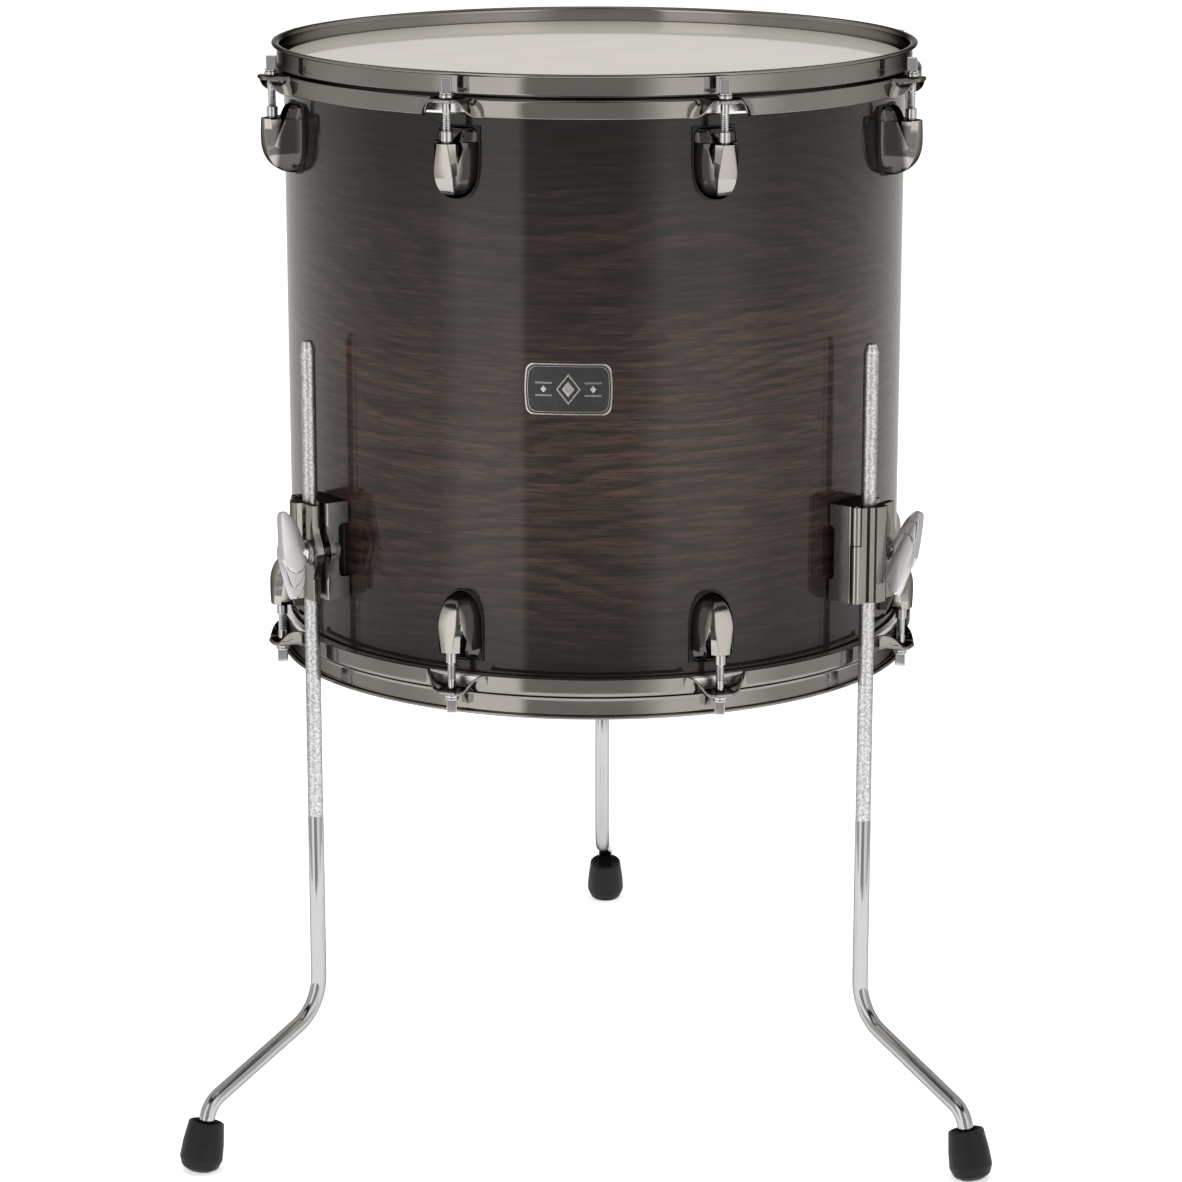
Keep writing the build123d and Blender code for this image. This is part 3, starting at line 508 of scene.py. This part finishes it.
def hoop():
    """Triple-flanged hoop: the section swept round, finer beside each rod, with the rods' holes."""
    sides = np.concatenate([np.arange(0, 4.5, 0.9), np.arange(4.5, 24, 0.7), np.linspace(25, 83.25, 18)[:-1]])
    sides = np.concatenate([-sides[:0:-1], sides])
    sections = [hoop_section(side) for side in sides]
    rows = []
    for azimuth in LUG_AZIMUTHS:
        for side, outline in zip(sides, sections):
            angle = math.radians(azimuth - 90) + side / 212.0
            rows.append(np.stack([outline[:, 0] * math.cos(angle), outline[:, 0] * math.sin(angle),
                                  RIM_Z + outline[:, 1]], axis=-1))
    ring = grid(np.array(rows), True, True)
    holes = [turned(prism(circle(3.4, ROD_CIRCLE, 0, 28), RIM_Z - 20, RIM_Z - 12), a) for a in LUG_AZIMUTHS]
    return shaped(ring, cut=[join(*holes)])


# ---------------------------------------------------------------- rods, nuts and lugs
def rod():
    """Key rod: chamfered square head, round collar, shank, and a real thread where it is bare."""
    head_top, head_foot, collar_foot = RIM_Z - 2.8, RIM_Z - 11.0, RIM_Z - 12.4
    half = 3.175
    square = prism(rounded([(-half, -half, 0.5), (half, -half, 0.5),
                            (half, half, 0.5), (-half, half, 0.5)], 2),
                   head_foot - 0.2, head_top)
    square = shaped(square, bevel=0.55, steps=2, angle=40)
    collar = lathe([(0, collar_foot), (4.1, collar_foot), (4.4, collar_foot + 0.3), (4.4, head_foot - 0.5),
                    (3.9, head_foot + 0.1), (0, head_foot + 0.1)], 40)
    thread_top, tip = RIM_Z - 24.0, RIM_Z - 57.5
    levels = np.concatenate([[collar_foot + 0.1, thread_top + 1.0], np.arange(thread_top, RIM_Z - 36, -0.265),
                             [RIM_Z - 37, tip + 0.8]])
    turn = np.linspace(0, 2 * math.pi, 28, endpoint=False)[:, None]
    phase = np.mod(levels / THREAD_PITCH - turn / (2 * math.pi), 1.0)
    depth = 0.42 * (1 - 2 * np.abs(phase - 0.5)) * ((levels < thread_top + 0.1) & (levels > RIM_Z - 36))
    radius = ROD_RADIUS - depth
    ring = np.stack([radius * np.cos(turn), radius * np.sin(turn), levels + 0 * turn], axis=-1)
    shank = grid(ring, True, False, caps=True)
    point = lathe([(0, tip), (ROD_RADIUS - 0.8, tip), (ROD_RADIUS, tip + 0.85), (0, tip + 0.85)], 28)
    return join(square, collar, shank, point)


def rod_washer():
    """Thick round washer on the hoop's ear."""
    low, high = RIM_Z - 14.9, RIM_Z - 12.6
    ring = lathe(rounded([(2.9, low, 0.2), (4.6, low, 0.5), (4.6, high, 0.5), (2.9, high, 0.2)], 3), 40, True)
    return moved(ring, x=ROD_CIRCLE)


def swivel_nut():
    """Nut barrel in the lug, with a sleeve and a small neck above it."""
    top, shoulder, foot = RIM_Z - 34.7, RIM_Z - 43.0, RIM_Z - 57.0
    profile = rounded([(2.78, foot, 0.2), (4.5, foot, 0.4), (4.5, shoulder, 0.4), (3.1, shoulder + 0.2, 0.2),
                       (3.1, shoulder + 1.8, 0.2), (3.6, shoulder + 2.2, 0.3), (3.6, top, 0.5),
                       (2.78, top, 0.2)], 3)
    return moved(lathe(profile, 40, True), x=ROD_CIRCLE)


def lug_slice(depth, reach, width, pocket):
    """A lug's level section: a foot on the shell, and a nose with a flat front between two chamfers.

    The reach scales it away from the shell, the width scales it across, and the pocket opens in its side.
    """
    seat = SHELL_RADIUS + 1.65
    rear, front = (219.7 - 6.6 * pocket, 7.15 + 3.8 * pocket), (219.7 + 1.7 * pocket, 7.15 - 0.1 * pocket)
    line = [(seat, 13.6), (205.0, 13.5), (209.0, 12.7), (213.0, 11.4), rear,
            (rear[0] + 0.5 * pocket, rear[1] + (4.9 - rear[1]) * pocket),
            (front[0] - 0.5 * pocket, front[1] - 2.6 * pocket), front,
            (224.8, 6.3 - 2.7 * pocket), (225.1, 5.6 - 2.7 * pocket), (225.3, 0.0)]
    half = [(seat + (u - seat) * reach, t * width, RIM_Z - depth) for u, t in line]
    half[0] = (math.sqrt(seat ** 2 - half[0][1] ** 2), *half[0][1:])
    return half + [(x, -y, z) for x, y, z in half[-2::-1]]


def lug():
    """Cast lug: arched foot, round-ended nose with a flat top, a V pocket in each side, and a bore."""
    foot_top, nose_top, pocket_foot, end = 33.5, 42.0, 59.5, 77.5       # depths below the rim
    arch = [(0.0, 0.60), (0.02, 0.70), (0.08, 0.82), (0.2, 0.92), (0.42, 0.98), (0.7, 1.0), (1.0, 1.0)]
    rings = [lug_slice(foot_top + share * (nose_top - foot_top), 0.10 + 0.28 * math.sqrt(share), width, 0.0)
             for share, width in arch]
    nose_depths = np.concatenate([[nose_top, nose_top + 0.5], np.arange(44.0, 75.0, 1.5),
                                  [75.6, 76.6, end - 0.1]])
    for depth in nose_depths:
        way = (depth - nose_top) / (end - nose_top)
        open_side = 0.97 * max(0.0, 1 - (depth - nose_top) / (pocket_foot - nose_top))
        rings.append(lug_slice(depth, (1 - way ** 4) ** 0.5, (1 - way ** 4.5) ** 0.6, open_side))
    body = grid(np.array(rings).transpose(1, 0, 2), True, False, caps=True)
    bore = prism(circle(4.7, ROD_CIRCLE, 0, 32), RIM_Z - 57.3, RIM_Z - 30)
    return shaped(body, cut=[bore], bevel=0.35, steps=2, angle=24)


# ---------------------------------------------------------------- badge and vent
def on_shell(points, azimuth, centre_z):
    """Flat points (across, up, proud) wrapped on the shell at an azimuth."""
    across, up, proud = np.asarray(points, float).T
    angle = math.radians(azimuth - 90) + across / SHELL_RADIUS
    radius = SHELL_RADIUS + proud
    return np.stack([radius * np.cos(angle), radius * np.sin(angle), centre_z + up], axis=-1)


def badge_outline(width, height, bow=0.0, count=120):
    """A plate's outline with round corners and bowed ends, as evenly spaced points."""
    corners = rounded([(-width / 2, -height / 2, 4.5), (width / 2, -height / 2, 4.5),
                       (width / 2, height / 2, 4.5), (-width / 2, height / 2, 4.5)], 8)
    loop = np.vstack([corners, corners[:1]])
    run = np.concatenate([[0], np.cumsum(np.linalg.norm(np.diff(loop, axis=0), axis=1))])
    at = np.linspace(0, run[-1], count, endpoint=False)
    outline = np.stack([np.interp(at, run, loop[:, 0]), np.interp(at, run, loop[:, 1])], axis=-1)
    outline[:, 0] *= 1 - bow * (2 * outline[:, 1] / height) ** 2
    return outline


def plaque(outline, low, high, edge):
    """A solid plate of an outline with a softened edge, wrapped on the shell."""
    levels = [(1.0, low), (1.0, high - edge), (1 - edge / 25, high)]
    levels += [(share, high) for share in np.linspace(0.94, 0.04, 14)] + [(0.001, high)]
    rings = [np.column_stack([outline * share, np.full(len(outline), height)]) for share, height in levels]
    back = [np.column_stack([outline * share, np.full(len(outline), low)])
            for share in np.linspace(0.02, 0.95, 14)]
    points, faces = grid(np.array(back + rings).transpose(1, 0, 2), True, False, caps=True)
    return on_shell(points, BADGE_AZIMUTH, BADGE_Z), faces


def band(outer, inner, low, high):
    """A raised line between two outlines with the same number of points, wrapped on the shell."""
    soft = (outer * 0.85 + inner * 0.15, outer * 0.15 + inner * 0.85)
    rings = [(outer, low), (outer, high - 0.1), (soft[0], high), (soft[1], high),
             (inner, high - 0.1), (inner, low)]
    rings = [np.column_stack([outline, np.full(len(outline), height)]) for outline, height in rings]
    points, faces = grid(np.array(rings).transpose(1, 0, 2), True, True)
    return on_shell(points, BADGE_AZIMUTH, BADGE_Z), faces


def lozenge(width, height, across=0.0, up=0.0):
    """A lozenge's outline, with the same number of points on each side."""
    tips = np.array([(width / 2, 0), (0, height / 2), (-width / 2, 0), (0, -height / 2)])
    sides = [tips[k] + (tips[(k + 1) % 4] - tips[k]) * np.arange(6)[:, None] / 6 for k in range(4)]
    return np.vstack(sides) + (across, up)


def badge_trim():
    """The plaque's bright lines: a double border, a lozenge in a lozenge, and beside it on each side
    a small lozenge between two plain bars."""
    aside, bar_up = 15.2, 3.9
    lines = [band(badge_outline(54, 32, 0.05), badge_outline(52.4, 30.4, 0.05), 0.2, 0.98),
             band(badge_outline(50.6, 28.6, 0.05), badge_outline(49.9, 27.9, 0.05), 0.2, 0.9),
             band(lozenge(15, 19), lozenge(13.2, 16.8), 0.2, 0.95),
             band(lozenge(7.5, 9.6), lozenge(0.5, 0.6), 0.2, 0.95)]
    for side in (-1, 1):
        for up in (bar_up, -bar_up):
            bar, middle = badge_outline(10.5, 1.1), (side * aside, up)
            lines.append(band(bar + middle, bar * (0.93, 0.2) + middle, 0.2, 0.92))
        lines.append(band(lozenge(3.4, 4.2, side * aside), lozenge(0.3, 0.4, side * aside), 0.2, 0.92))
    return join(*lines)


# ---------------------------------------------------------------- bracket, plate, washer and wing bolt
def bolt_pad(start, end):
    """A pad round the bolt's hole that swells smoothly out of the bolt-side edge."""
    up = np.linspace(-18.0, 18.0, 37)
    edge = 16.9 + 6.0 * np.cos(math.pi * up / 36) ** 2
    back = [(4.6, BRACKET_Z + 18), (4.6, BRACKET_Z - 18)]
    outline = np.vstack([np.column_stack([edge, BRACKET_Z + up]), back])
    return prism(outline, start, end, along="x")


def bracket():
    """Cast bracket: body, bolt boss and pad, hinge knuckle, leg channel and a slot in each side."""
    low, high = BRACKET_Z - 31.5, BRACKET_Z + 31.5
    split = BRACKET_Z + 7.0
    body = prism(rounded([(198, -17), (219, -17, 1.6), (219, 17, 1.6), (198, 17)], 3), low, high)
    boss = prism(circle(8.3, BOLT_SIDE, BRACKET_Z, 48), 204.5, 218.5, along="x")
    pad = bolt_pad(215.5, 219.0)
    knuckle = prism(circle(3.5, PIN_AXIS, PIN_SIDE, 32), split, high)
    cuts = [prism(circle(4.1, PIN_AXIS, PIN_SIDE, 32), low - 1, split - 0.3),
            prism(circle(1.6, PIN_AXIS, PIN_SIDE, 20), split - 5, high + 1),
            prism(circle(LEG_RADIUS + 0.25, LEG_AXIS, 0, 48), low - 1, high + 1),
            prism(circle(4.5, BOLT_SIDE, BRACKET_Z, 32), 198, 225, along="x"),
            prism(circle(SHELL_RADIUS + 1.3, 0, 0, 720), low - 5, high + 5)]
    for face, bottom in ((-17, 206.5), (17, 210.0)):
        slot = rounded([(199, BRACKET_Z - 17.5), (bottom, BRACKET_Z - 17.5, 3.4),
                        (bottom, BRACKET_Z + 17.5, 3.4), (199, BRACKET_Z + 17.5)], 5)
        cuts.append(prism(slot, face - 11.5, face + 11.5, along="y"))
    return shaped(body, add=[boss, pad, knuckle], cut=cuts, bevel=0.6, steps=2, angle=24)


def clamp_plate():
    """Cast plate: fluted rib over the leg, flange and pad round the bolt, and the lower hinge knuckle."""
    low, high, split = BRACKET_Z - 31.0, BRACKET_Z + 31.0, BRACKET_Z + 6.4
    plan = [(PLATE_BACK, 17.0, 0.8), (PLATE_FACE, 17.0, 0.8), (PLATE_FACE, 4.6, 0.5), (232.6, 3.4, 0.8)]
    for angle in (6, -14, -30, -34, -38, -51, -55.5, -60):       # facets of the rib, with two flutes
        reach = 11.1 if angle in (-34, -55.5) else 13.0
        plan.append((LEG_AXIS + reach * math.cos(math.radians(angle)), reach * math.sin(math.radians(angle))))
    plan += [(PIN_AXIS + 3.0, PIN_SIDE - 3.3, 1.2), (PIN_AXIS, PIN_SIDE - 1.0), (PLATE_BACK, PIN_SIDE + 4.8)]
    plate = prism(rounded(plan, 3), low, high)
    pad = bolt_pad(PLATE_BACK, PLATE_FACE)
    knuckle = prism(circle(3.5, PIN_AXIS, PIN_SIDE, 32), low, split)
    cuts = [prism(circle(9.1, BOLT_SIDE, BRACKET_Z, 56), PLATE_FACE, 240, along="x"),
            prism(circle(5.0, BOLT_SIDE, BRACKET_Z, 32), 219, 235, along="x"),
            prism(circle(LEG_RADIUS + 0.25, LEG_AXIS, 0, 48), low - 1, high + 1),
            prism(circle(4.1, PIN_AXIS, PIN_SIDE, 32), split, high + 1)]
    plate = shaped(plate, add=[pad], cut=cuts)
    pin_hole = prism(circle(1.6, PIN_AXIS, PIN_SIDE, 20), low - 1, split + 1)
    return shaped(plate, add=[knuckle], cut=[pin_hole], bevel=0.5, steps=2, angle=24)


def wing_washer():
    """Stepped washer under the wing bolt."""
    start = PLATE_FACE + 0.1
    profile = rounded([(4.3, start, 0.1), (8.3, start, 0.3), (8.3, start + 1.2, 0.5), (6.9, start + 1.3, 0.2),
                       (6.9, start + 1.8, 0.3), (4.3, start + 1.8, 0.1)], 3)
    return moved(lathe(profile, 56, True, along="x"), y=BOLT_SIDE, z=BRACKET_Z)


def blade_outline(count=72):
    """A blade seen along the tangent, (out, up): a round heel, and sides that draw in to a leaning tip."""
    half, heel, tip, lean = 8.4, 12.0, 28.0, 3.0
    angle = np.linspace(0, 2 * math.pi, count, endpoint=False)
    up = np.where(np.sin(angle) < 0, heel * np.sin(angle), tip * np.sin(angle))
    rise = np.clip(up / tip, 0, 1)
    wide = np.where(up < 0, np.sqrt(np.clip(1 - (up / heel) ** 2, 0, 1)),
                    np.sqrt(np.clip(1 - rise ** 2, 0, 1)) * (1 - 0.12 * rise))
    return np.stack([np.sign(np.cos(angle)) * half * wide + lean * rise ** 4, up], axis=-1)


def pillow(outline, low, high, edge, dome):
    """An outline in the XZ plane, from Y = low to a domed face at Y = high, with a round edge."""
    outline = np.asarray(outline, float)
    centre = outline.mean(axis=0)
    rings = [np.column_stack([outline[:, 0], np.full(len(outline), low), outline[:, 1]])]
    size = np.linalg.norm(outline - centre, axis=1)[:, None]
    for k in range(6):
        angle = math.pi / 2 * k / 5
        inset = edge * (1 - math.cos(angle))
        ring = centre + (outline - centre) * (1 - inset / size)
        rings.append(np.column_stack([ring[:, 0], np.full(len(ring), high - edge * (1 - math.sin(angle))),
                                      ring[:, 1]]))
    flat = ring
    for share in (0.85, 0.7, 0.55, 0.4, 0.25, 0.1, 0.001):
        ring = centre + (flat - centre) * share
        rings.append(np.column_stack([ring[:, 0], np.full(len(ring), high + dome * (1 - share ** 2)),
                                      ring[:, 1]]))
    points = np.array(rings).transpose(1, 0, 2)
    return grid(points, True, False, caps=True)


def wing_bolt():
    """Bolt with a cast S-shaped wing: two blades back to back, each ending in two steps on the other."""
    shank = prism(circle(3.9, 0, 0, 40), HUB_START - 24.0, HUB_START + 4.0, along="x")
    hub = lathe([(0, HUB_START), (5.3, HUB_START), (5.6, HUB_START + 0.5), (5.0, HUB_START + 3),
                 (4.7, HUB_START + 7), (4.0, HUB_START + 9), (0, HUB_START + 9.4)], 48, along="x")
    blade = blade_outline()
    parts = [pillow(blade, -0.5, 4.7, 0.8, 0.45),           # this blade, and two steps of the other one
             pillow(blade * (0.96, -0.73), -0.45, 3.0, 0.6, 0.15),
             pillow(blade * (0.99, -0.99), -0.4, 1.4, 0.6, 0.1)]
    halves = []
    for turn in (0, 180):
        halves += [moved(moved(part, x=HUB_START + 9.8), about="X", degrees=turn) for part in parts]
    return shaped(hub, add=[*halves, shank])


# ---------------------------------------------------------------- legs and feet
KNEE, ANKLE, SOLE = (0.0, 79.0), (103.2, 42.1), (113.5, 0.0)
KNEE_RADIUS, ANKLE_RADIUS = 31.0, 18.0


def leg_path():
    """Centre line of the bent part, in the leg's plane, from above the knee down into the foot."""
    lean = math.atan2(SOLE[0] - ANKLE[0], ANKLE[1] - SOLE[1])
    end = (SOLE[0] - 7 * math.sin(lean), SOLE[1] + 7 * math.cos(lean))
    line = rounded([(0.0, KNURL_END - 1), (*KNEE, KNEE_RADIUS), (*ANKLE, ANKLE_RADIUS), end], 14)
    return line, math.degrees(lean)


def tube(line, radius, segments):
    """A round bar along a line in the XZ plane."""
    line = np.asarray(line, float)
    along = np.gradient(line, axis=0)
    along /= np.linalg.norm(along, axis=1)[:, None]
    normal = np.stack([-along[:, 1], along[:, 0]], axis=-1)
    turn = np.linspace(0, 2 * math.pi, segments, endpoint=False)[:, None]
    x = line[:, 0] + radius * np.cos(turn) * normal[:, 0]
    z = line[:, 1] + radius * np.cos(turn) * normal[:, 1]
    return np.stack([x, radius * np.sin(turn) + 0 * x, z], axis=-1)


def leg():
    """Round steel leg: tapered top, diamond knurl down to below the bracket's range, then two bends."""
    segments, starts, pitch = 80, 20, 1.55
    turn = np.linspace(0, 2 * math.pi, segments, endpoint=False)[:, None]
    levels = np.arange(LEG_TOP - 5.5, KNURL_END, -pitch / 4)
    around = starts * turn / (2 * math.pi)
    first = np.abs(np.mod(around + levels / pitch, 1.0) - 0.5) * 2
    second = np.abs(np.mod(around - levels / pitch, 1.0) - 0.5) * 2
    radius = LEG_RADIUS - 0.5 * np.maximum(first, second) ** 1.3
    knurl = np.stack([radius * np.cos(turn), radius * np.sin(turn), levels + 0 * turn], axis=-1)
    tip = [(LEG_RADIUS - 1.9, LEG_TOP - 0.2), (LEG_RADIUS - 1.7, LEG_TOP - 0.5),
           (LEG_RADIUS - 0.1, LEG_TOP - 5.2)]
    top = np.stack([np.stack([r * np.cos(turn[:, 0]), r * np.sin(turn[:, 0]), np.full(segments, z)], axis=-1)
                    for r, z in [(LEG_RADIUS - 2.2, LEG_TOP)] + tip], axis=1)
    line, _ = leg_path()
    bent = tube(line, LEG_RADIUS, segments)
    return grid(np.concatenate([top, knurl, bent], axis=1), True, False, caps=True)


def foot():
    """Egg-shaped rubber foot, leaning with the leg's end, with a lip and a dark cup round the leg."""
    _, lean = leg_path()
    profile = rounded([(0, 0), (7.2, 0, 2.0), (11.6, 2.6, 4.0), (13.8, 8.5, 5.0), (13.2, 18.0, 8.0),
                       (11.4, 31.6, 0.8), (9.9, 32.4, 0.7), (8.6, 29.5, 1.0), (LEG_RADIUS + 0.06, 28.0),
                       (0, 28.0)], 6)
    body = lathe(profile, 72)
    points, faces = moved(body, about="Y", degrees=-lean)
    points = points + (SOLE[0], 0, SOLE[1])
    points[:, 2] = np.maximum(points[:, 2], 0.0)
    return points, faces


def at_bracket(part, side):
    """A leg part turned about the leg's own axis and carried to its bracket."""
    swung = moved(part, about="Z", degrees=LEG_SWIVEL[side])
    return turned(moved(swung, x=LEG_AXIS), BRACKETS[side])


# ---------------------------------------------------------------- the pieces
def all_round(part, angles=LUG_AZIMUTHS):
    """Copies of a part at several azimuths."""
    return [turned(part, azimuth) for azimuth in angles]


publish("shell_visual", shell(), ROOT, OAK, "shell")
head_part, flesh_part, hoop_part = head(), flesh_hoop(), hoop()
lug_part, nut_part, washer_part, rod_part = lug(), swivel_nut(), rod_washer(), rod()
for end, skin, flip in (("top", "batter", lambda part: part), ("bottom", "resonant", upside_down)):
    publish(f"{skin}_head_visual", flip(head_part), ROOT, FILM_SKIN, f"{skin}_head")
    publish(f"{skin}_flesh_hoop_visual", flip(flesh_part), ROOT, ALUMINIUM, f"{skin}_flesh_hoop")
    publish(f"{end}_hoop_visual", flip(hoop_part), ROOT, NICKEL, f"{end}_hoop", angle=50)
    publish(f"{end}_lugs_visual", all_round(flip(lug_part)), ROOT, LUG_CASTING_PAINTED_SHADE, f"{end}_lugs")
    publish(f"{end}_nuts_visual", all_round(flip(nut_part)), ROOT, CHROME, f"{end}_swivel_nuts")
    publish(f"{end}_washers_visual", all_round(flip(washer_part)), ROOT, CHROME, f"{end}_rod_washers")
    for number, azimuth in enumerate(LUG_AZIMUTHS, 1):
        name = f"{end}_tension_rod_{number}"
        squared = moved(rod_part, about="Z", degrees=90 - azimuth)
        publish(f"{name}_visual", turned(moved(flip(squared), x=ROD_CIRCLE), azimuth), name, CHROME, name)

publish("badge_visual", plaque(badge_outline(54, 32, 0.05), 0.05, 0.7, 0.25), ROOT, ENAMEL, "badge")
publish("badge_trim_visual", badge_trim(), ROOT, BADGE_METAL, "badge")

bracket_part, plate_part, disc_part, wing_part = bracket(), clamp_plate(), wing_washer(), wing_bolt()
leg_part, foot_part = leg(), foot()
for side, azimuth in BRACKETS.items():
    publish(f"{side}_bracket_visual", turned(bracket_part, azimuth), ROOT, CASTING, f"{side}_bracket")
    publish(f"{side}_clamp_plate_visual", turned(plate_part, azimuth), f"{side}_clamp_plate", CASTING,
            f"{side}_clamp_plate")
    publish(f"{side}_wing_washer_visual", turned(disc_part, azimuth), f"{side}_wing_washer", CASTING,
            f"{side}_wing_washer")
    spun = moved(moved(wing_part, about="X", degrees=WING_TURN[side]), y=BOLT_SIDE, z=BRACKET_Z)
    publish(f"{side}_wing_bolt_visual", turned(spun, azimuth), f"{side}_wing_bolt", SATIN,
            f"{side}_wing_bolt", angle=45)
    publish(f"{side}_leg_visual", at_bracket(leg_part, side), f"{side}_leg", LEG_CHROME, f"{side}_leg",
            angle=60, weighted=False)
    publish(f"{side}_foot_visual", at_bracket(foot_part, side), f"{side}_leg", RUBBER, f"{side}_foot")

for name, surface in (("lug_gaskets", GASKET), ("bracket_gaskets", GASKET), ("vent_grommet", GASKET),
                      ("lug_screws", ZINC), ("lug_washers", ZINC), ("bracket_screws", ZINC),
                      ("bracket_washers", ZINC), ("clamp_nuts", ZINC), ("hinge_pins", ZINC)):
    carried = frame["nodes"][name]
    carried.data.materials.clear()
    carried.data.materials.append(surface)

# ---------------------------------------------------------------- studio
scene = bpy.context.scene
scene.view_settings.view_transform = "Standard"


def floor():
    """A plain pale floor; beyond the drum's surroundings it doesn't mirror in the gloss."""
    near, far = circle(1.15, 0, AXIS_Y * MM, 96), circle(30.0, 0, 0, 96)
    surround = [(k, (k + 1) % 96, 96 + (k + 1) % 96, 96 + k) for k in range(96)]
    for name, points, faces, glow in (("near_floor", near, [tuple(range(96))], 0.50),
                                      ("far_floor", np.vstack([near, far]), surround, 0.65)):
        paint = shader(f"{name}_paint", "", (0.93, 0.93, 0.93), 0.0, 0.85, Emission_Color=(1, 1, 1, 1),
                       Emission_Strength=glow)
        mesh = bpy.data.meshes.new(name)
        mesh.from_pydata([(x, y, 0) for x, y in points], [], faces)
        obj = bpy.data.objects.new(name, mesh)
        scene.collection.objects.link(obj)
        obj.data.materials.append(paint)
        obj.visible_glossy = name == "near_floor"


def world():
    """A pale room: a dim patch in front, a bright soft box on each side of it, and a dark ceiling."""
    sky = bpy.data.worlds.new("studio")
    scene.world = sky
    sky.use_nodes = True
    tree = sky.node_tree
    way = node(tree, "SeparateXYZ", Vector=node(tree, "TexCoord").outputs["Generated"]).outputs
    around = maths(tree, "ARCTAN2", way[0], maths(tree, "MULTIPLY", way[1], -1.0))
    share = spread(tree, around, 0.0, 1.0, -math.pi, math.pi)
    ring = node(tree, "ValToRGB", Fac=share)
    ring.color_ramp.interpolation = "LINEAR"
    # degrees from the front, and the brightness there
    stops = [(-180, 0.80), (-105, 0.72), (-78, 0.60), (-58, 0.70), (-48, 1.45), (-26, 1.5), (-23, 0.42),
             (14, 0.42), (21, 0.75), (28, 1.3), (50, 1.2), (72, 0.68), (100, 0.68), (180, 0.80)]
    elements = ring.color_ramp.elements
    while len(elements) < len(stops):
        elements.new(0.5)
    for element, (degrees, level) in zip(elements, stops):
        element.position = (degrees + 180) / 360
    for element, (degrees, level) in zip(elements, stops):
        element.color = (level / 1.6, level / 1.6, level / 1.6, 1)
    # overhead, a dark stretch of ceiling before the drum; straight above and behind, it is lit again
    closing = spread(tree, way[2], 1.0, 0.06, math.sin(math.radians(44)), math.sin(math.radians(54)))
    opening = spread(tree, way[2], 0.0, 0.65, math.sin(math.radians(64)), math.sin(math.radians(72)))
    behind = spread(tree, way[1], 0.0, 0.65, 0.0, 0.15)
    overhead = maths(tree, "MAXIMUM", maths(tree, "MAXIMUM", closing, opening), behind)
    level = maths(tree, "MULTIPLY", maths(tree, "MULTIPLY", ring.outputs[0], 1.6), overhead)
    glow = node(tree, "Background", Color=(1.0, 0.965, 0.93, 1), Strength=level)
    output = tree.nodes.get("World Output") or tree.nodes.new("ShaderNodeOutputWorld")
    tree.links.new(glow.outputs[0], output.inputs["Surface"])


def lamp(name, place, aim, size, power):
    """A soft area light that lights surfaces without showing in their gloss."""
    data = bpy.data.lights.new(name, "AREA")
    data.shape, data.size, data.energy = "DISK", size, power
    obj = bpy.data.objects.new(name, data)
    obj.location = place
    obj.rotation_euler = (Vector(aim) - Vector(place)).to_track_quat("-Z", "Y").to_euler()
    obj.visible_glossy = False
    scene.collection.objects.link(obj)


def camera():
    """A long lens a little above the rim, in front of the drum, looking down on it."""
    distance, height, pitch = 2.5257, 0.9675, math.radians(14.286)
    azimuth, yaw = math.radians(1.515), math.radians(-0.088)
    data = bpy.data.cameras.new("camera")
    data.lens, data.sensor_width = 117.77, 36.0
    data.shift_x, data.shift_y = 0.0021, 0.0058
    obj = bpy.data.objects.new("camera", data)
    heading = azimuth - yaw
    forward = Vector((-math.sin(heading) * math.cos(pitch), math.cos(heading) * math.cos(pitch),
                      -math.sin(pitch)))
    obj.location = (distance * math.sin(azimuth), AXIS_Y * MM - distance * math.cos(azimuth), height)
    obj.rotation_euler = forward.to_track_quat("-Z", "Y").to_euler()
    scene.collection.objects.link(obj)
    scene.camera = obj


floor()
world()
lamp("overhead", (0.0, -0.4, 3.2), (0, 0, 0.4), 3.0, 40.0)
lamp("front_left", (-2.6, -2.6, 1.6), (0, 0, 0.45), 1.4, 14.0)
lamp("front_right", (2.6, -2.4, 1.5), (0, 0, 0.45), 1.4, 9.0)
camera()
